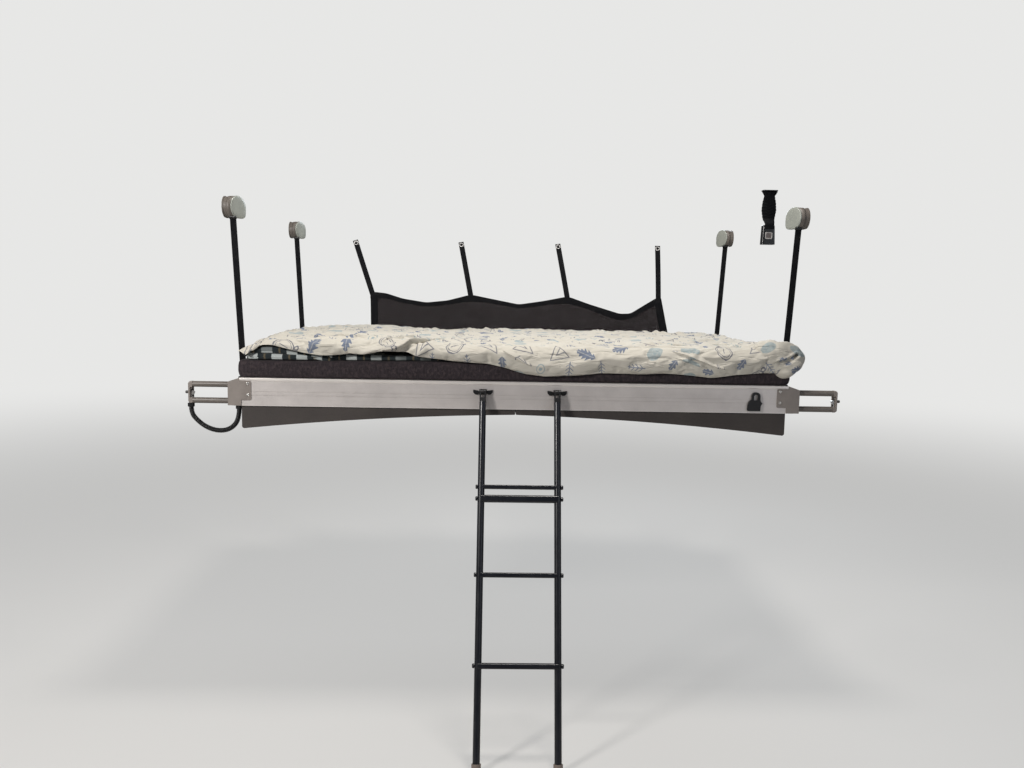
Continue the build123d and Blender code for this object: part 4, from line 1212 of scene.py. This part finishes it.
# Belts: straight webbing from each anchor's roller to its guide

belts = {
    "topX": 1.1000,
    "lowX": 1.064,
    "topZ": -0.037,
    "lowZ": -0.7075,
    "y": 0.512,
    "rollerSide": 0.0153,
    "width": 0.025,
    "thickness": 0.0019,
    "points": 60,
    "keep": 0.293,
}


def makeBelt(end, way, side, sign, seed):
    # a flat strap along a line, with its edges slightly raised and a faint wave
    share = np.linspace(0, 1, belts["points"])
    x = sign * (belts["topX"] + (belts["lowX"] - belts["topX"]) * share)
    z = belts["topZ"] + (belts["lowZ"] - belts["topZ"]) * share
    wave = 0.0006 * waves(z, 0 * z, 5, seed, 0.2, 0.6) * np.sin(math.pi * share)
    path = np.stack((x, way * belts["y"] - belts["rollerSide"] + wave, z), axis=-1)
    strap = strand(path, (1, 0, 0), strapProfile(belts["width"], belts["thickness"]))
    piece = makePiece(f"belt_webbing_{end}_{side}", [strap])
    dress(piece, "webbing", "webbing", "vehicle_side", f"belt_{end}_{side}")
    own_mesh(piece)


rows, edges = (("rear", -1), ("front", 1)), (("left", -1), ("right", 1))
for number, (end, way, side, sign) in enumerate([(*row, *edge) for row in rows for edge in edges]):
    makeAnchor(end, way, side, sign)
    makeBelt(end, way, side, sign, 40 + number)
print("anchors and belts made")


# Guard net: mesh panel with a webbing hem and four straps to studs

net = {
    "points": (
        (-0.739, -0.305, -0.838), (-0.213, -0.311, -0.270), (0.306, -0.312, 0.255), (0.797, -0.307, 0.797),
    ),
    "scallops": (
        ((-0.669, -0.311), (-0.581, -0.338), (-0.452, -0.357), (-0.336, -0.344)),
        ((-0.102, -0.332), (0.045, -0.359), (0.179, -0.338)),
        ((0.425, -0.352), (0.589, -0.400), (0.653, -0.397), (0.717, -0.356)),
    ),
    "topLeft": -0.751,
    "topRight": 0.812,
    "bottomLeft": -0.744,
    "bottomRight": 0.899,
    "bottomZ": -0.696,
    "y": 0.6665,
    "studY": 0.738,
    "studZ": -0.044,
    "hemTop": 0.027,
    "hemSide": 0.039,
    "hemThickness": 0.0024,
    "strapWidth": 0.028,
    "strapThickness": 0.002,
    "tail": 0.016,
    "eyelet": (
        (0.0078, -0.0008), (0.0078, 0.0010), (0.0088, 0.0019), (0.0104, 0.0019), (0.0116, 0.0008),
        (0.0116, -0.0008),
    ),
    "eyeletCap": ((0.0, -0.0008), (0.0078, -0.0008), (0.0078, 0.0004), (0.0, 0.0006)),
    "keep": 0.2331,
    "columns": 260,
    "rows": 60,
}


def netTop(x):
    # the scalloped upper edge: between two strap points the hem runs through its table, rounded but for the
    # points
    table = [net["points"][0][:2]]
    for scallop, point in zip(net["scallops"], net["points"][1:]):
        table += [*scallop, point[:2]]
    return smoothLine(table, x, 0.018)


def netSides(share):
    # X of the net's left and right edges at a share of its height
    left = net["bottomLeft"] + (net["topLeft"] - net["bottomLeft"]) * share
    right = net["bottomRight"] + (net["topRight"] - net["bottomRight"]) * share
    return left, right


def netBillow(x, z):
    # the mesh hangs a few millimetres out of its plane, more in the middle of each scallop
    height = np.clip((z - net["bottomZ"]) / (net["points"][0][1] - net["bottomZ"]), 0, 1)
    return (0.004 + 0.004 * waves(x, z, 8, 51, 0.12, 0.5)) * np.sin(math.pi * np.clip(height, 0, 1)) * 0.8


def netPiece(name, grids, finish, slotName, node, closed=True):
    # a piece of the net, dressed and given a mesh of its own
    piece = dress(makePiece(name, grids, closed=closed), finish, slotName, "vehicle_side", node)
    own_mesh(piece)
    return piece


def makeNetPanel():
    # the panel spans from the batten to the hem
    share = np.linspace(0, 1, net["rows"])[:, None]
    left, right = netSides(share)
    x = left + (right - left) * np.linspace(0, 1, net["columns"])[None]
    topEdge = netTop(np.clip(x[-1], net["points"][0][0], net["points"][-1][0]))[None]
    z = net["bottomZ"] + (topEdge - 0.004 - net["bottomZ"]) * share
    grid = np.stack((x, net["y"] + netBillow(x, z), z), axis=-1)
    panel = netPiece("net_mesh", [(grid, False, False)], "net", "net_mesh", "net_panel", closed=False)


def makeNetHem():
    # a flat strap carried up the two sides and along the scalloped top, where it is wider near the straps
    up = np.linspace(0, 1, 40)
    leftX, rightX = netSides(up)
    topX = np.linspace(net["topLeft"], net["topRight"], 240)
    half, bottom = net["hemSide"] / 2, net["bottomZ"]
    rise = net["points"][0][1] - net["hemTop"] / 2 - bottom
    nearest = np.min([np.abs(topX - point[0]) for point in net["points"]], axis=0)
    topWidth = net["hemTop"] * (0.85 + 0.45 * bell(nearest, 0, 0.07) + 0.45 * bell(topX, 0.55, 0.12))
    lines = (
        (leftX + half, bottom + rise * up, net["hemSide"], (1, 0, 0)),
        (rightX - half, bottom + (rise - 0.010) * up, net["hemSide"], (1, 0, 0)),
        (topX, netTop(topX) - topWidth / 2, topWidth, (0, 0, 1)),
    )
    grids = []
    for x, z, width, flatWay in lines:
        path = np.stack((x, net["y"] + netBillow(x, z), z), axis=-1)
        scale = np.stack((width + 0 * x, 1 + 0 * x), axis=-1)[:, None]
        grids.append(strand(path, flatWay, strapProfile(1.0, net["hemThickness"])[None] * scale))
    netPiece("net_hem_webbing", grids, "webbing", "webbing", "net_hem")


def makeNetStraps():
    # four straps from the hem past the studs, each with an eyelet and its cap on the stud
    grids, rings, caps = [], [], []
    along = np.linspace(0, 1, 30)[:, None]
    for x, z, studX in net["points"]:
        foot = np.array((x, net["y"] + 0.0026, z - 0.014))
        head = np.array((studX, net["studY"], net["studZ"]))
        run = head - foot
        path = foot + run * along * (1 + net["tail"] / np.linalg.norm(run))
        path[:, 1] -= 0.004 * np.sin(math.pi * along[:, 0])
        grids.append(strand(path, (1, 0, 0), strapProfile(net["strapWidth"], net["strapThickness"])))
        front = np.cross(run, (1, 0, 0)) / np.linalg.norm(np.cross(run, (1, 0, 0)))
        front = -front * np.sign(front[1])
        rings.append(turned([*net["eyelet"], net["eyelet"][0]], head + 0.001 * front, front, 32))
        caps.append(turned(net["eyeletCap"], head + 0.001 * front, front, 24))
    netPiece("net_straps_webbing", grids, "webbing", "webbing", "net_straps")
    dress(makePiece("net_eyelets", rings), "eyelet", "net_stud_metal", "vehicle_side")
    dress(makePiece("net_eyelet_caps", caps), "blackPlastic", "black_plastic", "vehicle_side")


makeNetPanel()
makeNetHem()
makeNetStraps()
print("net made")


# Travel lock: gathered strap sleeve that laps over the buckle, and the buckle's framed button

lock = {
    "x": 0.910,
    "y": -0.737,
    "top": 0.071,
    "halfWidths": (
        (0.0, 0.0285), (0.007, 0.0265), (0.016, 0.0190), (0.040, 0.0245), (0.068, 0.0270), (0.098, 0.0220),
        (0.122, 0.0170), (0.137, 0.0165),
    ),
    "halfDepth": 0.006,
    "lapStart": 0.096,
    "lapEnd": 0.121,
    "lapReach": 0.0158,
    "rows": 110,
    "sides": 48,
    "buttonMiddle": (0.910, -0.7465, -0.0895),
    "buttonHalf": (0.0128, 0.0123),
    "buttonRim": 0.0034,
    "buttonHeight": 0.0050,
}


def makeSleeve():
    # an oval tube whose width follows the table; near its end it flattens and steps forward over the buckle
    drop = np.linspace(0, lock["halfWidths"][-1][0], lock["rows"])
    half = smoothLine(lock["halfWidths"], drop, 0.004)[:, None]
    lap = smoothStep(drop, lock["lapStart"], lock["lapEnd"])
    angle = np.linspace(0, fullTurn, lock["sides"], endpoint=False)[None]
    wave = np.sin(drop[:, None] * fullTurn / 0.011 + 1.6 * np.sin(angle * 3) + 0.8 * np.sin(angle * 7))
    gathers = 0.0005 * wave * (1 - lap)[:, None] + 0.0010 * np.sin(angle * 9) * bell(drop, 0, 0.02)[:, None]
    depth = lock["halfDepth"] * (0.7 + 0.4 * np.sin(math.pi * drop / drop[-1])) * (1 - lap) + 0.0014 * lap
    across = (half + gathers) * np.cos(angle)
    deep = (depth[:, None] + gathers) * np.sign(np.sin(angle)) * np.abs(np.sin(angle)) ** 0.7
    path = np.stack((0 * drop + lock["x"], lock["y"] - lock["lapReach"] * lap, lock["top"] - drop), axis=-1)
    piece = makePiece("lock_sleeve", [strand(path, (1, 0, 0), np.stack((across, deep), axis=-1))])
    dress(piece, "webbing", "webbing", "vehicle_side", "lock_strap")


def squareRings(middle, half, levels):
    # rounded squares in the plane that faces the rear, one for each (inset, height) in levels
    rings = []
    for inset, height in levels:
        across, up = roundedLoop(half[0] - inset, half[1] - inset, max(0.004 - inset, 0.0008), 48)
        rings.append(np.stack((middle[0] + across, np.full(48, middle[1] - height), middle[2] + up), axis=-1))
    return np.array(rings)


def makeButton():
    # a raised rim round a dished square pad, both seated in the buckle's recess
    rim, high = lock["buttonRim"], lock["buttonHeight"]
    levels = ((0.0, 0.0), (0.0, high - 0.0006), (0.0006, high), (rim - 0.0006, high), (rim, high - 0.0006),
              (rim, 0.0))
    ring = squareRings(lock["buttonMiddle"], lock["buttonHalf"], levels)
    piece = makePiece("lock_button_rim", [(ring, True, True)])
    dress(piece, "buttonRim", "anchor_cover_plastic", "vehicle_side")
    levels = ((rim, 0.0), (rim, high - 0.0022), (rim + 0.001, high - 0.0018), (rim + 0.004, high - 0.0024),
              (0.0115, high - 0.0028))
    pad = capped(squareRings(lock["buttonMiddle"], lock["buttonHalf"], levels))
    piece = makePiece("lock_button_pad", [(pad, False, True)])
    dress(piece, "button", "anchor_base_plastic", "vehicle_side")


makeSleeve()
makeButton()
print("lock made")


# Small metal: bracket screws and the toothed catches in the arm ends

metal = {
    "screwX": 1.012,
    "screwY": 0.665,
    "screwLevels": (-0.6705, -0.713),
    "screw": (
        (0.0, 0.0014), (0.0016, 0.0014), (0.0016, 0.0031), (0.0032, 0.0030), (0.0050, 0.0020),
        (0.0060, 0.0006), (0.0060, 0.0), (0.0, 0.0),
    ),
    "catchY": (-0.643, -0.637),
    "catch": (
        (1.2390, -0.6870), (1.2280, -0.6935), (1.2310, -0.6995), (1.2175, -0.7070), (1.2215, -0.7165),
        (1.2285, -0.7205), (1.2255, -0.7280), (1.2390, -0.7330),
    ),
}


def makeSmallMetal():
    # each screw is a pan head with a socket, turned from one profile; each catch is a flat plate with the
    # table's outline
    screws, catches = [], []
    for sign in (-1, 1):
        for way in (-1, 1):
            for level in metal["screwLevels"]:
                place = (sign * metal["screwX"], way * metal["screwY"], level)
                screws.append(turned(metal["screw"], place, (0, way, 0), 24))
        outline = np.array(metal["catch"])
        x, z = sign * outline[:, 0], outline[:, 1]
        faces = [np.stack((x, 0 * x + y, z), axis=-1) for y in metal["catchY"]]
        catches.append((capped(np.array(faces)), False, True))
    dress(makePiece("bracket_screws", screws), "steel", "net_stud_metal", "bunk")
    dress(makePiece("arm_catches", catches, smooth=False), "steel", "net_stud_metal", "bunk")


makeSmallMetal()
print("small metal made")
